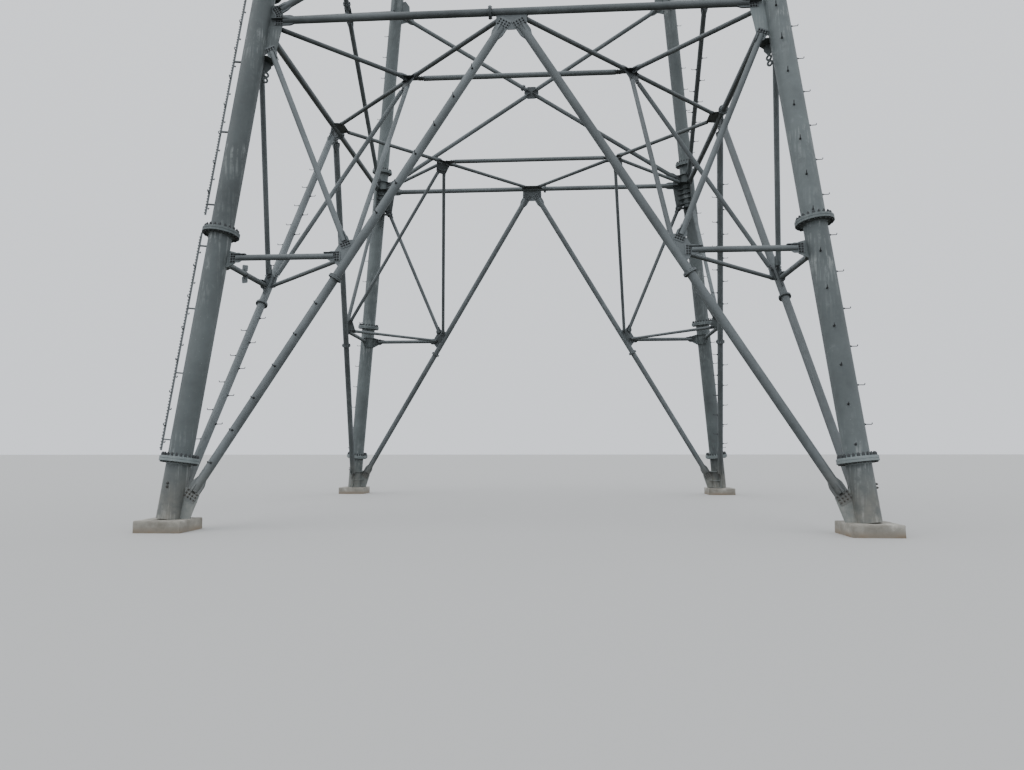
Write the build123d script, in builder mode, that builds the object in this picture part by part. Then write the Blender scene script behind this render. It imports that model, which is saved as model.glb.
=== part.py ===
"""Base section of a tubular lattice tower: four leaning legs, braced faces and one diaphragm.

Millimetres, +Z up, origin on the ground in the middle of the four feet.
Face 0 is the front, 1 the right, 2 the back and 3 the left.
Corner 0 is front left, 1 front right, 2 back right and 3 back left.
Corner k stands at the left end of face k and at the right end of the face before it.
"""
import math
import os

from build123d import *

# Overall shape: every leg leans in by the same amount along both faces
HALF_WIDTH = 8000.0
LEAN = 0.1
DIAPHRAGM_Z = 13200.0
KNEE_Z = 6650.0
TOP_FLANGE_Z = 22000.0
TOP_FLANGE_ABOVE_NODE = 1000.0
CROSS_TOP_Z = TOP_FLANGE_Z - TOP_FLANGE_ABOVE_NODE
DIAGONAL_FOOT_Z = -50.0

# Concrete pedestals
PEDESTAL_SIDE = 1100.0
PEDESTAL_TOP = 280.0
PEDESTAL_EDGE = 25.0

# Legs and their bolted flanges
LEG_D = 560.0
UPPER_LEG_D = 530.0
LEG_WALL = 14.0
LEG_SIDES = 8
FLANGE_D = 900.0
UPPER_FLANGE_D = 860.0
FLANGE_T = 60.0
FLANGE_SIDES = 12
FOOT_FLANGE_Z = 1650.0
MID_FLANGE_ABOVE_KNEE = 650.0
MID_FLANGE_Z = KNEE_Z + MID_FLANGE_ABOVE_KNEE
UPPER_FLANGE_ABOVE_NODE = 880.0
UPPER_FLANGE_Z = DIAPHRAGM_Z + UPPER_FLANGE_ABOVE_NODE
BOLT_COUNT = 20
BOLT_HOLE_D = 42.0
BOLT_EDGE = 60.0
DRILLED_CORNER = 0

# Ribs between the two gussets of a leg, on its inner side: height above the ground at the foot
# and above the node elsewhere, reach from the leg's axis, and whether the outer edge is round
RIB_T = 16.0
FOOT_RIBS = ((350.0, 450.0, False), (640.0, 450.0, False), (1020.0, 380.0, True))
KNEE_RIBS = ((-190.0, 350.0, True), (190.0, 350.0, True))
DIAPHRAGM_RIBS = ((-780.0, 450.0, False), (-570.0, 500.0, False), (-365.0, 500.0, False),
                  (-160.0, 500.0, False), (440.0, 370.0, True))
PLAN_PLATE_REACH = 420.0

# Bracing tubes, solid bars of few sides that fill the outline of the round tube
BAR_SIDES = 6
DIAGONAL_D = 219.0
HORIZONTAL_D = 194.0
CROSS_D = 180.0
KNEE_D = 150.0
HIP_D = 133.0
KNEE_TIE_D = 114.0
PLAN_D = 133.0
PLAN_TIE_D = 159.0
SPLICE_D = 340.0
CROSS_SPLICE_D = 270.0
SPLICE_T = 30.0
SPLICE_SIDES = 8

# Gussets, with the heights that they are welded over or their reach from the middle
GUSSET_T = 20.0
FOOT_GUSSET_TOP = 1040.0
FOOT_GUSSET_REACH = 500.0
DIAPHRAGM_GUSSET = (-820.0, 480.0)
TOP_GUSSET = (-480.0, 480.0)
KNEE_GUSSET = (-235.0, 225.0)
NODE_GUSSET = (-420.0, 500.0)
SPAN_GUSSET_HALF = 390.0
SPAN_PLATE_HALF = 450.0
FIN_ROOT = 150.0
CENTRE_MARGIN = 35.0

# End plates: a pair grips a gusset on heavy bars, a single one lies on it on light bars
END_PLATE_T = 14.0
END_PLATE_LAP = 190.0
END_PLATE_INSET = 6.0
GUSSET_GAP = 15.0
GUSSET_EDGE = 35.0
WELD_DEPTH = 60.0
BOTH = (1, -1)
OUTER = (1,)

# How far from a working point each tube ends
CUT_DIAGONAL_FOOT = 1150.0
CUT_DIAGONAL_TOP = 520.0
CUT_HORIZONTAL = 640.0
CUT_KNEE_AT_LEG = 500.0
CUT_KNEE_AT_NODE = 400.0
CUT_HANGER_AT_LEG = 1000.0
CUT_HANGER_AT_NODE = 410.0
CUT_CROSS_AT_LEG = 640.0
CUT_CROSS_CENTRE = 230.0
CUT_HIP_TOP = 480.0
CUT_HIP_FOOT = 450.0
CUT_KNEE_TIE = 420.0
CUT_PLAN_AT_LEG = 620.0
CUT_PLAN_AT_SPAN = 640.0
CUT_PLAN_HUB = 260.0
CUT_PLAN_TIE = 420.0
SPLICE_BELOW_KNEE = 660.0
SPLICE_BESIDE_SPAN = 560.0
SPLICE_BESIDE_CENTRE = 420.0

# Climbing rail beside the front left leg
RAIL_OFFSET = 500.0
RAIL_DEPTH = 50.0
RAIL_WIDTH = 16.0
RAIL_ABOVE_FOOT_FLANGE = 180.0
RAIL_BELOW_MID_FLANGE = 10.0
RAIL_ABOVE_MID_FLANGE = 450.0
RAIL_BELOW_TOP_FLANGE = 300.0
RAIL_LOWER = (FOOT_FLANGE_Z + RAIL_ABOVE_FOOT_FLANGE, MID_FLANGE_Z - RAIL_BELOW_MID_FLANGE)
RAIL_UPPER = (MID_FLANGE_Z + RAIL_ABOVE_MID_FLANGE, TOP_FLANGE_Z - RAIL_BELOW_TOP_FLANGE)
BRACKET_PITCH = 1750.0
BRACKET_INSET = 450.0
BRACKET_WIDTH = 60.0
BRACKET_T = 10.0

CORNERS = ("front_left", "front_right", "back_right", "back_left")
FACES = ("front", "right", "back", "left")
UP = Vector(0, 0, 1)


def spread(height):
    """Half the distance between two leg axes at a height."""
    return HALF_WIDTH - LEAN * height


def along(face):
    """Direction along a face, from its left end to its right end."""
    angle = math.radians(90 * face)
    return Vector(math.cos(angle), math.sin(angle), 0)


def outward(face):
    """Level direction straight out of a face."""
    angle = math.radians(90 * face - 90)
    return Vector(math.cos(angle), math.sin(angle), 0)


def leg_point(corner, height):
    """Point on a leg's axis."""
    half = spread(height)
    return outward(corner) * half - along(corner) * half + UP * height


def leg_plane(corner, height):
    """Plane square to a leg's axis, with X towards the next corner."""
    axis = towards(leg_point(corner, 0), leg_point(corner, TOP_FLANGE_Z))
    side = along(corner) - axis * along(corner).dot(axis)
    return Plane(origin=leg_point(corner, height), x_dir=side, z_dir=axis)


def face_normal(face):
    """Direction square to a leaning face."""
    return (outward(face) + UP * LEAN).normalized()


def face_of(corner, side):
    """The two faces that meet at a corner: side 0 is its own face, side 1 the one before."""
    return (corner - side) % 4


def span_middle(face):
    """Middle of a face's horizontal, on the diaphragm level."""
    return outward(face) * spread(DIAPHRAGM_Z) + UP * DIAPHRAGM_Z


def knee_point(corner, side):
    """Where a main diagonal is braced halfway up, on the knee level."""
    start = leg_point(corner, DIAGONAL_FOOT_Z)
    rise = (KNEE_Z - DIAGONAL_FOOT_Z) / (DIAPHRAGM_Z - DIAGONAL_FOOT_Z)
    return start + (span_middle(face_of(corner, side)) - start) * rise


def hub_point(corner):
    """Node of the plan bracing in front of a corner."""
    return (span_middle(face_of(corner, 0)) + span_middle(face_of(corner, 1))) * 0.5


def towards(start, end):
    """Direction of length one from one point to another."""
    return (end - start).normalized()


def step(start, end, distance):
    """Point at a distance from start on the way to end."""
    return start + towards(start, end) * distance


def tongue(start, end, reach, width, normal):
    """The two corners of a strip of plate that runs from start towards end."""
    side = towards(start, end).cross(normal).normalized() * (width / 2)
    tip = step(start, end, reach)
    return [tip + side, tip - side]


def outline_round(points):
    """Corners of the straight-sided outline that holds all the points, in order."""
    ordered = sorted({(round(p.X, 3), round(p.Y, 3)) for p in points})
    chains = []
    for run in (ordered, ordered[::-1]):
        chain = []
        for point in run:
            while len(chain) > 1:
                (ax, ay), (bx, by) = chain[-2], chain[-1]
                if (bx - ax) * (point[1] - ay) - (by - ay) * (point[0] - ax) > 0:
                    break
                chain.pop()
            chain.append(point)
        chains += chain[:-1]
    return chains


def plate(origin, normal, corners, thickness):
    """Add a flat plate round the given corners, with its middle through origin."""
    middle = Plane(origin=origin, z_dir=normal)
    with BuildSketch(middle) as shape:
        with BuildLine():
            Polyline(*outline_round([middle.to_local_coords(c) for c in corners]), close=True)
        make_face()
    extrude(shape.sketch, amount=thickness / 2, both=True)


def bar(start, end, diameter, normal):
    """Add a straight bar between two points, with two flat sides square to its end plates."""
    with BuildSketch(Plane(origin=start, x_dir=normal, z_dir=end - start)) as shape:
        RegularPolygon(radius=diameter / 2, side_count=BAR_SIDES)
    extrude(shape.sketch, amount=(end - start).length)


def end_plate_width(diameter):
    """Width of the end plates, a little less than the bar across its flats."""
    return diameter * math.cos(math.pi / BAR_SIDES) - 2 * END_PLATE_INSET


def end_plates(node, far, cut, diameter, normal, signs):
    """Add the plates that reach from a bar's end over the gusset at a node."""
    axis = towards(node, far)
    side = axis.cross(normal).normalized() * (end_plate_width(diameter) / 2)
    near = node + axis * (cut - END_PLATE_LAP)
    back = node + axis * (cut + WELD_DEPTH)
    corners = [near + side, near - side, back + side, back - side]
    offset = normal * (GUSSET_T / 2 + END_PLATE_T / 2)
    for sign in signs:
        plate(node + offset * sign, normal, [c + offset * sign for c in corners], END_PLATE_T)


def brace(start, end, diameter, cuts, normal, signs):
    """Add a bar with end plates, cut back from the working point at each end."""
    bar(step(start, end, cuts[0]), step(end, start, cuts[1]), diameter, normal)
    end_plates(start, end, cuts[0], diameter, normal, signs)
    end_plates(end, start, cuts[1], diameter, normal, signs)


def gusset_tongue(node, far, cut, diameter, normal):
    """Corners of the part of a gusset that a bar's end plates lie on."""
    width = end_plate_width(diameter) + 2 * GUSSET_EDGE
    return tongue(node, far, cut - GUSSET_GAP, width, normal)


def splice(centre, axis, diameter):
    """Add a pair of round flanges on a bar."""
    with BuildSketch(Plane(origin=centre - axis * SPLICE_T, z_dir=axis)) as shape:
        RegularPolygon(radius=diameter / 2, side_count=SPLICE_SIDES)
    extrude(shape.sketch, amount=2 * SPLICE_T)


def leg_flat(diameter):
    """Distance from a leg's axis to the middle of its wall, on a flat side."""
    return diameter / 2 * math.cos(math.pi / LEG_SIDES) - LEG_WALL / 2


def beside_leg(corner, side, height, reach):
    """Point beside a leg's axis, in the plane of one of its two faces."""
    across = along(face_of(corner, side)) * (1 - 2 * side)
    axis = leg_plane(corner, height).z_dir
    return leg_point(corner, height) + (across - axis * across.dot(axis)).normalized() * reach


def rib_corners(corner, height, reach):
    """Corners of a level plate that fills the angle between a leg's two gussets."""
    reaches = (leg_flat(LEG_D), reach)
    return [beside_leg(corner, side, height, distance) for side in (0, 1) for distance in reaches]


def rib(corner, height, reach, rounded):
    """Add a rib between a leg's two gussets, with its outer edge straight or rounded."""
    middle = leg_point(corner, height)
    corners = rib_corners(corner, height, reach)
    if rounded:
        corners.append(middle + (corners[1] + corners[3] - middle * 2).normalized() * reach)
    plate(middle, leg_plane(corner, height).z_dir, corners, RIB_T)


def disc(corner, height, diameter, sides, thickness, base=0.0, bore=0.0):
    """Add a disc square to a leg's axis, from base to base + thickness along it."""
    with BuildSketch(leg_plane(corner, height).offset(base)) as shape:
        RegularPolygon(radius=diameter / 2, side_count=sides, rotation=180 / sides)
        if bore:
            RegularPolygon(radius=bore / 2, side_count=LEG_SIDES, rotation=180 / LEG_SIDES,
                           mode=Mode.SUBTRACT)
    extrude(shape.sketch, amount=thickness)


def leg_length(corner, bottom, top, diameter, bore=0.0):
    """Add a leg's tube between two heights."""
    length = (leg_point(corner, top) - leg_point(corner, bottom)).length
    disc(corner, bottom, diameter, LEG_SIDES, length, bore=bore)


def flange(corner, height, diameter, base, bore=0.0):
    """Add a bolted flange to a leg: base 0 is above the joint, -FLANGE_T below it."""
    disc(corner, height, diameter, FLANGE_SIDES, FLANGE_T, base, bore)


def save(part, name):
    """Label a finished node and write it."""
    part.label = name
    export_step(part, f"parts/{name}.step")


def diagonal_line(corner, side):
    """Start and end of a main diagonal's axis."""
    return leg_point(corner, DIAGONAL_FOOT_Z), span_middle(face_of(corner, side))


def hip_normal(corner, side):
    """Direction square to the upright plane that holds a hip strut."""
    hub, knee = hub_point(corner), knee_point(corner, side)
    return (hub - knee).cross(UP).normalized()


def beside(corner, side):
    """The corner at the other end of one of a corner's two faces."""
    return (corner + 1 - 2 * side) % 4


def tie_partner(corner):
    """The corner that the front or back tie joins to this one."""
    return corner + 1 - 2 * (corner % 2)


os.makedirs("parts", exist_ok=True)

# Pedestals and feet
wall = leg_flat(LEG_D)
for corner, name in enumerate(CORNERS):
    with BuildPart() as pedestal:
        base = leg_point(corner, PEDESTAL_TOP)
        with BuildSketch(Plane(origin=(base.X, base.Y, 0))):
            Rectangle(PEDESTAL_SIDE, PEDESTAL_SIDE)
        extrude(amount=PEDESTAL_TOP)
        chamfer(pedestal.edges().group_by(Axis.Z)[-1], length=PEDESTAL_EDGE)
    save(pedestal.part, f"pedestal_{name}")

    with BuildPart() as foot:
        leg_length(corner, 0, FOOT_FLANGE_Z, LEG_D)
        flange(corner, FOOT_FLANGE_Z, FLANGE_D, -FLANGE_T)
        for height, reach, rounded in FOOT_RIBS:
            rib(corner, height, reach, rounded)
        for side in (0, 1):
            normal = face_normal(face_of(corner, side))
            start, end = diagonal_line(corner, side)
            corners = [beside_leg(corner, side, z, wall) for z in (PEDESTAL_TOP, FOOT_GUSSET_TOP)]
            corners += gusset_tongue(start, end, CUT_DIAGONAL_FOOT, DIAGONAL_D, normal)
            corners.append(beside_leg(corner, side, PEDESTAL_TOP, FOOT_GUSSET_REACH))
            plate(start, normal, corners, GUSSET_T)
        split(bisect_by=Plane.XY.offset(PEDESTAL_TOP), keep=Keep.TOP)
    save(foot.part, f"foot_{name}")

# Legs, one length for each pair of flanges. Only the top length is open, so it is hollow.
for corner, name in enumerate(CORNERS):
    with BuildPart() as lower_leg:
        leg_length(corner, FOOT_FLANGE_Z, MID_FLANGE_Z, LEG_D)
        flange(corner, FOOT_FLANGE_Z, FLANGE_D, 0)
        flange(corner, MID_FLANGE_Z, FLANGE_D, -FLANGE_T)
        node = leg_point(corner, KNEE_Z)
        for side in (0, 1):
            normal = face_normal(face_of(corner, side))
            corners = [beside_leg(corner, side, KNEE_Z + dz, wall) for dz in KNEE_GUSSET]
            corners += gusset_tongue(node, knee_point(corner, side), CUT_KNEE_AT_LEG, KNEE_D, normal)
            plate(node, normal, corners, GUSSET_T)
        for dz, reach, rounded in KNEE_RIBS:
            rib(corner, KNEE_Z + dz, reach, rounded)
    save(lower_leg.part, f"lower_leg_{name}")

    with BuildPart() as middle_leg:
        leg_length(corner, MID_FLANGE_Z, UPPER_FLANGE_Z, LEG_D)
        flange(corner, MID_FLANGE_Z, FLANGE_D, 0)
        flange(corner, UPPER_FLANGE_Z, UPPER_FLANGE_D, -FLANGE_T)
        for dz, reach, rounded in DIAPHRAGM_RIBS:
            rib(corner, DIAPHRAGM_Z + dz, reach, rounded)
        node = leg_point(corner, DIAPHRAGM_Z)
        for side in (0, 1):
            normal = face_normal(face_of(corner, side))
            far_leg = beside(corner, side)
            corners = [beside_leg(corner, side, DIAPHRAGM_Z + dz, wall) for dz in DIAPHRAGM_GUSSET]
            corners += gusset_tongue(node, leg_point(far_leg, DIAPHRAGM_Z), CUT_HORIZONTAL,
                                     HORIZONTAL_D, normal)
            corners += gusset_tongue(node, knee_point(corner, side), CUT_HANGER_AT_LEG, KNEE_D, normal)
            corners += gusset_tongue(node, leg_point(far_leg, CROSS_TOP_Z), CUT_CROSS_AT_LEG,
                                     CROSS_D, normal)
            plate(node, normal, corners, GUSSET_T)
        corners = rib_corners(corner, DIAPHRAGM_Z, PLAN_PLATE_REACH)
        corners += gusset_tongue(node, hub_point(corner), CUT_PLAN_AT_LEG, PLAN_D, UP)
        plate(node, UP, corners, GUSSET_T)
    save(middle_leg.part, f"middle_leg_{name}")

    with BuildPart() as upper_leg:
        bore = UPPER_LEG_D - 2 * LEG_WALL
        leg_length(corner, UPPER_FLANGE_Z, TOP_FLANGE_Z, UPPER_LEG_D, bore)
        flange(corner, UPPER_FLANGE_Z, UPPER_FLANGE_D, 0, bore)
        flange(corner, TOP_FLANGE_Z, UPPER_FLANGE_D, -FLANGE_T, bore)
        if corner == DRILLED_CORNER:
            with Locations(leg_plane(corner, TOP_FLANGE_Z)):
                with PolarLocations(UPPER_FLANGE_D / 2 - BOLT_EDGE, BOLT_COUNT):
                    Hole(radius=BOLT_HOLE_D / 2, depth=2 * FLANGE_T)
        node = leg_point(corner, CROSS_TOP_Z)
        for side in (0, 1):
            normal = face_normal(face_of(corner, side))
            far_leg = beside(corner, side)
            corners = [beside_leg(corner, side, CROSS_TOP_Z + dz, leg_flat(UPPER_LEG_D))
                       for dz in TOP_GUSSET]
            below = leg_point(far_leg, DIAPHRAGM_Z)
            above = leg_point(far_leg, 2 * CROSS_TOP_Z - DIAPHRAGM_Z)
            corners += gusset_tongue(node, below, CUT_CROSS_AT_LEG, CROSS_D, normal)
            corners += gusset_tongue(node, above, CUT_CROSS_AT_LEG, CROSS_D, normal)
            plate(node, normal, corners, GUSSET_T)
    save(upper_leg.part, f"upper_leg_{name}")

# Main diagonals, two to a face
for face, name in enumerate(FACES):
    with BuildPart() as diagonals:
        normal = face_normal(face)
        for corner, side in ((face, 0), ((face + 1) % 4, 1)):
            start, end = diagonal_line(corner, side)
            knee = knee_point(corner, side)
            axis = towards(start, end)
            brace(start, end, DIAGONAL_D, (CUT_DIAGONAL_FOOT, CUT_DIAGONAL_TOP), normal, BOTH)
            splice(knee - axis * SPLICE_BELOW_KNEE, axis, SPLICE_D)
            corners = [knee + axis * distance for distance in NODE_GUSSET]
            corners += gusset_tongue(knee, leg_point(corner, KNEE_Z), CUT_KNEE_AT_NODE, KNEE_D, normal)
            corners += gusset_tongue(knee, leg_point(corner, DIAPHRAGM_Z), CUT_HANGER_AT_NODE,
                                     KNEE_D, normal)
            plate(knee, normal, corners, GUSSET_T)
            other = knee_point(corner, 1 - side)
            corners = tongue(knee, other, 0, FIN_ROOT, UP)
            corners += gusset_tongue(knee, other, CUT_KNEE_TIE, KNEE_TIE_D, UP)
            plate(knee, UP, corners, GUSSET_T)
            hub = hub_point(corner)
            fin = hip_normal(corner, side)
            corners = tongue(knee, hub, 0, FIN_ROOT, fin)
            corners += gusset_tongue(knee, hub, CUT_HIP_FOOT, HIP_D, fin)
            plate(knee, fin, corners, GUSSET_T)
    save(diagonals.part, f"{name}_diagonals")

# Horizontals of the diaphragm, each with the gussets at the middle of its span
for face, name in enumerate(FACES):
    with BuildPart() as horizontal:
        normal = face_normal(face)
        left, right = face, (face + 1) % 4
        start, end = leg_point(left, DIAPHRAGM_Z), leg_point(right, DIAPHRAGM_Z)
        middle = span_middle(face)
        brace(start, end, HORIZONTAL_D, (CUT_HORIZONTAL, CUT_HORIZONTAL), normal, BOTH)
        splice(middle - along(face) * SPLICE_BESIDE_SPAN, along(face), SPLICE_D)
        corners = [middle + along(face) * SPAN_GUSSET_HALF, middle - along(face) * SPAN_GUSSET_HALF]
        for corner, side in ((left, 0), (right, 1)):
            foot_end = leg_point(corner, DIAGONAL_FOOT_Z)
            corners += gusset_tongue(middle, foot_end, CUT_DIAGONAL_TOP, DIAGONAL_D, normal)
        plate(middle, normal, corners, GUSSET_T)
        corners = [middle + along(face) * SPAN_PLATE_HALF, middle - along(face) * SPAN_PLATE_HALF]
        for corner in (left, right):
            corners += gusset_tongue(middle, hub_point(corner), CUT_PLAN_AT_SPAN, PLAN_D, UP)
        plate(middle, UP, corners, GUSSET_T)
    save(horizontal.part, f"{name}_horizontal")

# Crossed bracing above the diaphragm
for face, name in enumerate(FACES):
    with BuildPart() as cross_brace:
        normal = face_normal(face)
        left, right = face, (face + 1) % 4
        lower, upper = spread(DIAPHRAGM_Z), spread(CROSS_TOP_Z)
        centre_z = DIAPHRAGM_Z + (CROSS_TOP_Z - DIAPHRAGM_Z) * lower / (lower + upper)
        centre = outward(face) * spread(centre_z) + UP * centre_z
        ends = [leg_point(left, DIAPHRAGM_Z), leg_point(right, DIAPHRAGM_Z),
                leg_point(right, CROSS_TOP_Z), leg_point(left, CROSS_TOP_Z)]
        corners = []
        for end in ends:
            bar(step(centre, end, CUT_CROSS_CENTRE), step(end, centre, CUT_CROSS_AT_LEG), CROSS_D,
                normal)
            end_plates(end, centre, CUT_CROSS_AT_LEG, CROSS_D, normal, BOTH)
            corners += tongue(centre, end, CUT_CROSS_CENTRE + WELD_DEPTH,
                              CROSS_D + 2 * CENTRE_MARGIN, normal)
        plate(centre, normal, corners, GUSSET_T)
        axis = towards(centre, ends[2])
        splice(centre + axis * SPLICE_BESIDE_CENTRE, axis, CROSS_SPLICE_D)
    save(cross_brace.part, f"{name}_cross_brace")

# Corner bracing between each leg and its two diagonals
for corner, name in enumerate(CORNERS):
    with BuildPart() as knee_bracing:
        hub = hub_point(corner)
        for side in (0, 1):
            normal = face_normal(face_of(corner, side))
            knee = knee_point(corner, side)
            fin = hip_normal(corner, side)
            brace(leg_point(corner, KNEE_Z), knee, KNEE_D, (CUT_KNEE_AT_LEG, CUT_KNEE_AT_NODE),
                  normal, OUTER)
            brace(leg_point(corner, DIAPHRAGM_Z), knee, KNEE_D,
                  (CUT_HANGER_AT_LEG, CUT_HANGER_AT_NODE), normal, OUTER)
            brace(hub, knee, HIP_D, (CUT_HIP_TOP, CUT_HIP_FOOT), fin, OUTER)
        brace(knee_point(corner, 0), knee_point(corner, 1), KNEE_TIE_D,
              (CUT_KNEE_TIE, CUT_KNEE_TIE), UP, OUTER)
    save(knee_bracing.part, f"knee_bracing_{name}")

# Plan bracing on the diaphragm level: a hub plate at each corner with its three bars
for corner, name in enumerate(CORNERS):
    with BuildPart() as plan_bracing:
        hub = hub_point(corner)
        leg = leg_point(corner, DIAPHRAGM_Z)
        corners = []
        for far, cut in ((leg, CUT_PLAN_AT_LEG), (span_middle(face_of(corner, 0)), CUT_PLAN_AT_SPAN),
                         (span_middle(face_of(corner, 1)), CUT_PLAN_AT_SPAN)):
            bar(step(hub, far, CUT_PLAN_HUB), step(far, hub, cut), PLAN_D, UP)
            end_plates(far, hub, cut, PLAN_D, UP, OUTER)
            corners += tongue(hub, far, CUT_PLAN_HUB + WELD_DEPTH, PLAN_D + 2 * CENTRE_MARGIN, UP)
        tie_end = hub_point(tie_partner(corner))
        corners += gusset_tongue(hub, tie_end, CUT_PLAN_TIE, PLAN_TIE_D, UP)
        plate(hub, UP, corners, GUSSET_T)
        for side in (0, 1):
            knee = knee_point(corner, side)
            fin = hip_normal(corner, side)
            corners = tongue(hub, knee, 0, FIN_ROOT, fin)
            corners += gusset_tongue(hub, knee, CUT_HIP_TOP, HIP_D, fin)
            plate(hub, fin, corners, GUSSET_T)
    save(plan_bracing.part, f"plan_bracing_{name}")

for name, pair in (("front", (0, 1)), ("back", (3, 2))):
    with BuildPart() as plan_tie:
        start, end = hub_point(pair[0]), hub_point(pair[1])
        brace(start, end, PLAN_TIE_D, (CUT_PLAN_TIE, CUT_PLAN_TIE), UP, BOTH)
    save(plan_tie.part, f"plan_tie_{name}")

# Climbing rail: a flat bar on brackets
for name, (bottom, top) in (("lower", RAIL_LOWER), ("upper", RAIL_UPPER)):
    with BuildPart() as rail:
        foot_plane = leg_plane(0, bottom)
        length = (leg_point(0, top) - leg_point(0, bottom)).length
        with BuildSketch(foot_plane):
            with Locations((-RAIL_OFFSET, 0)):
                Rectangle(RAIL_DEPTH, RAIL_WIDTH)
        extrude(amount=length)
        count = int((length - 2 * BRACKET_INSET) // BRACKET_PITCH) + 1
        for number in range(count):
            height = BRACKET_INSET + number * BRACKET_PITCH
            leg_d = LEG_D if bottom + height < UPPER_FLANGE_Z else UPPER_LEG_D
            flat = leg_flat(leg_d) + LEG_WALL / 2
            with BuildSketch(foot_plane.offset(height)):
                with Locations((-(flat + RAIL_OFFSET) / 2, 0)):
                    Rectangle(RAIL_OFFSET - flat, BRACKET_WIDTH)
            extrude(amount=BRACKET_T)
    save(rail.part, f"climbing_rail_{name}")
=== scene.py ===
"""Visual model of the base section of a tubular lattice tower.

Metres, +Z up, origin on the ground in the middle of the four feet.
"""

import logging
import math
import random
from dataclasses import dataclass, field
from enum import Enum, IntEnum
from typing import Iterable, Sequence

import bpy
from mathutils import Matrix, Vector
from mathutils.noise import noise


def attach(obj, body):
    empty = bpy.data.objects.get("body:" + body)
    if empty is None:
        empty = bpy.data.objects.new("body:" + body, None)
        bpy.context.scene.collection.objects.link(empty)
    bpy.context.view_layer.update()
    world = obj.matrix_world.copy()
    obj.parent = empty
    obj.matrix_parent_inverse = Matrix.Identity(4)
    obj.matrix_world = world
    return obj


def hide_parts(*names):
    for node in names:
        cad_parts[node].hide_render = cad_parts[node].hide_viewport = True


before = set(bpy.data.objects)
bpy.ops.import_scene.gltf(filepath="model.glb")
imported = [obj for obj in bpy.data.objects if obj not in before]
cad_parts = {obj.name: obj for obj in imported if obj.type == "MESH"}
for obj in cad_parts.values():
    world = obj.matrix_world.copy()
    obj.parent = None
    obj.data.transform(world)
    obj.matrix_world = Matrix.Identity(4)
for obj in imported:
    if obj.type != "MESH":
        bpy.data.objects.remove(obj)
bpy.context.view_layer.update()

LOG = logging.getLogger("tower")
UP = Vector((0.0, 0.0, 1.0))
Colour = tuple[float, float, float]
Profile = Sequence[tuple[float, float]]
Ribs = tuple[tuple[float, float, bool], ...]
GussetLevels = tuple[float, float, float, float]

# Thickness of a gusset, the gap between it and a tube's end, and the worn edge of thin plates.
GUSSET = 0.020
LAP_GAP = 0.015
FINE_EDGE = 0.002


class Corner(IntEnum):
    """Corners of the tower. Each stands at the left end of the face with its own number."""

    FRONT_LEFT = 0
    FRONT_RIGHT = 1
    BACK_RIGHT = 2
    BACK_LEFT = 3


class Face(IntEnum):
    """Faces of the tower."""

    FRONT = 0
    RIGHT = 1
    BACK = 2
    LEFT = 3


@dataclass(frozen=True)
class EndStyle:
    """How the end of a bracing tube is made.

    Attributes:
        sides: sides of the gusset that have a plate, as signs
        rows: rows of bolts along the tube
        columns: bolts in a row
        lap: how far the plates lie over the gusset
        wing: how far they stand out beside the tube
        tail: how far they run back along the tube
        cross: how far the stiffeners across them run over the gusset, nought for none
        cap: whether a flat bar lies along the top of the tube's end
    """

    sides: tuple[int, ...] = (1,)
    rows: int = 2
    columns: int = 2
    lap: float = 0.19
    wing: float = 0.008
    tail: float = 0.10
    cross: float = 0.0
    cap: bool = False


class TubeEnd(Enum):
    """Kinds of tube ends."""

    DIAGONAL = EndStyle((1, -1), 3, 4, 0.27, 0.050, 0.36, 0.06)
    LEVEL = EndStyle((1, -1), 3, 4, 0.24, 0.050, 0.34, 0.32)
    CROSSED = EndStyle((1, -1), 3, 4, 0.22, 0.040, 0.30, 0.06)
    STRUT = EndStyle((1,), 2, 4, 0.17, 0.055, 0.18, 0.0, True)
    TIE = EndStyle((1, -1))
    LIGHT = EndStyle()


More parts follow.
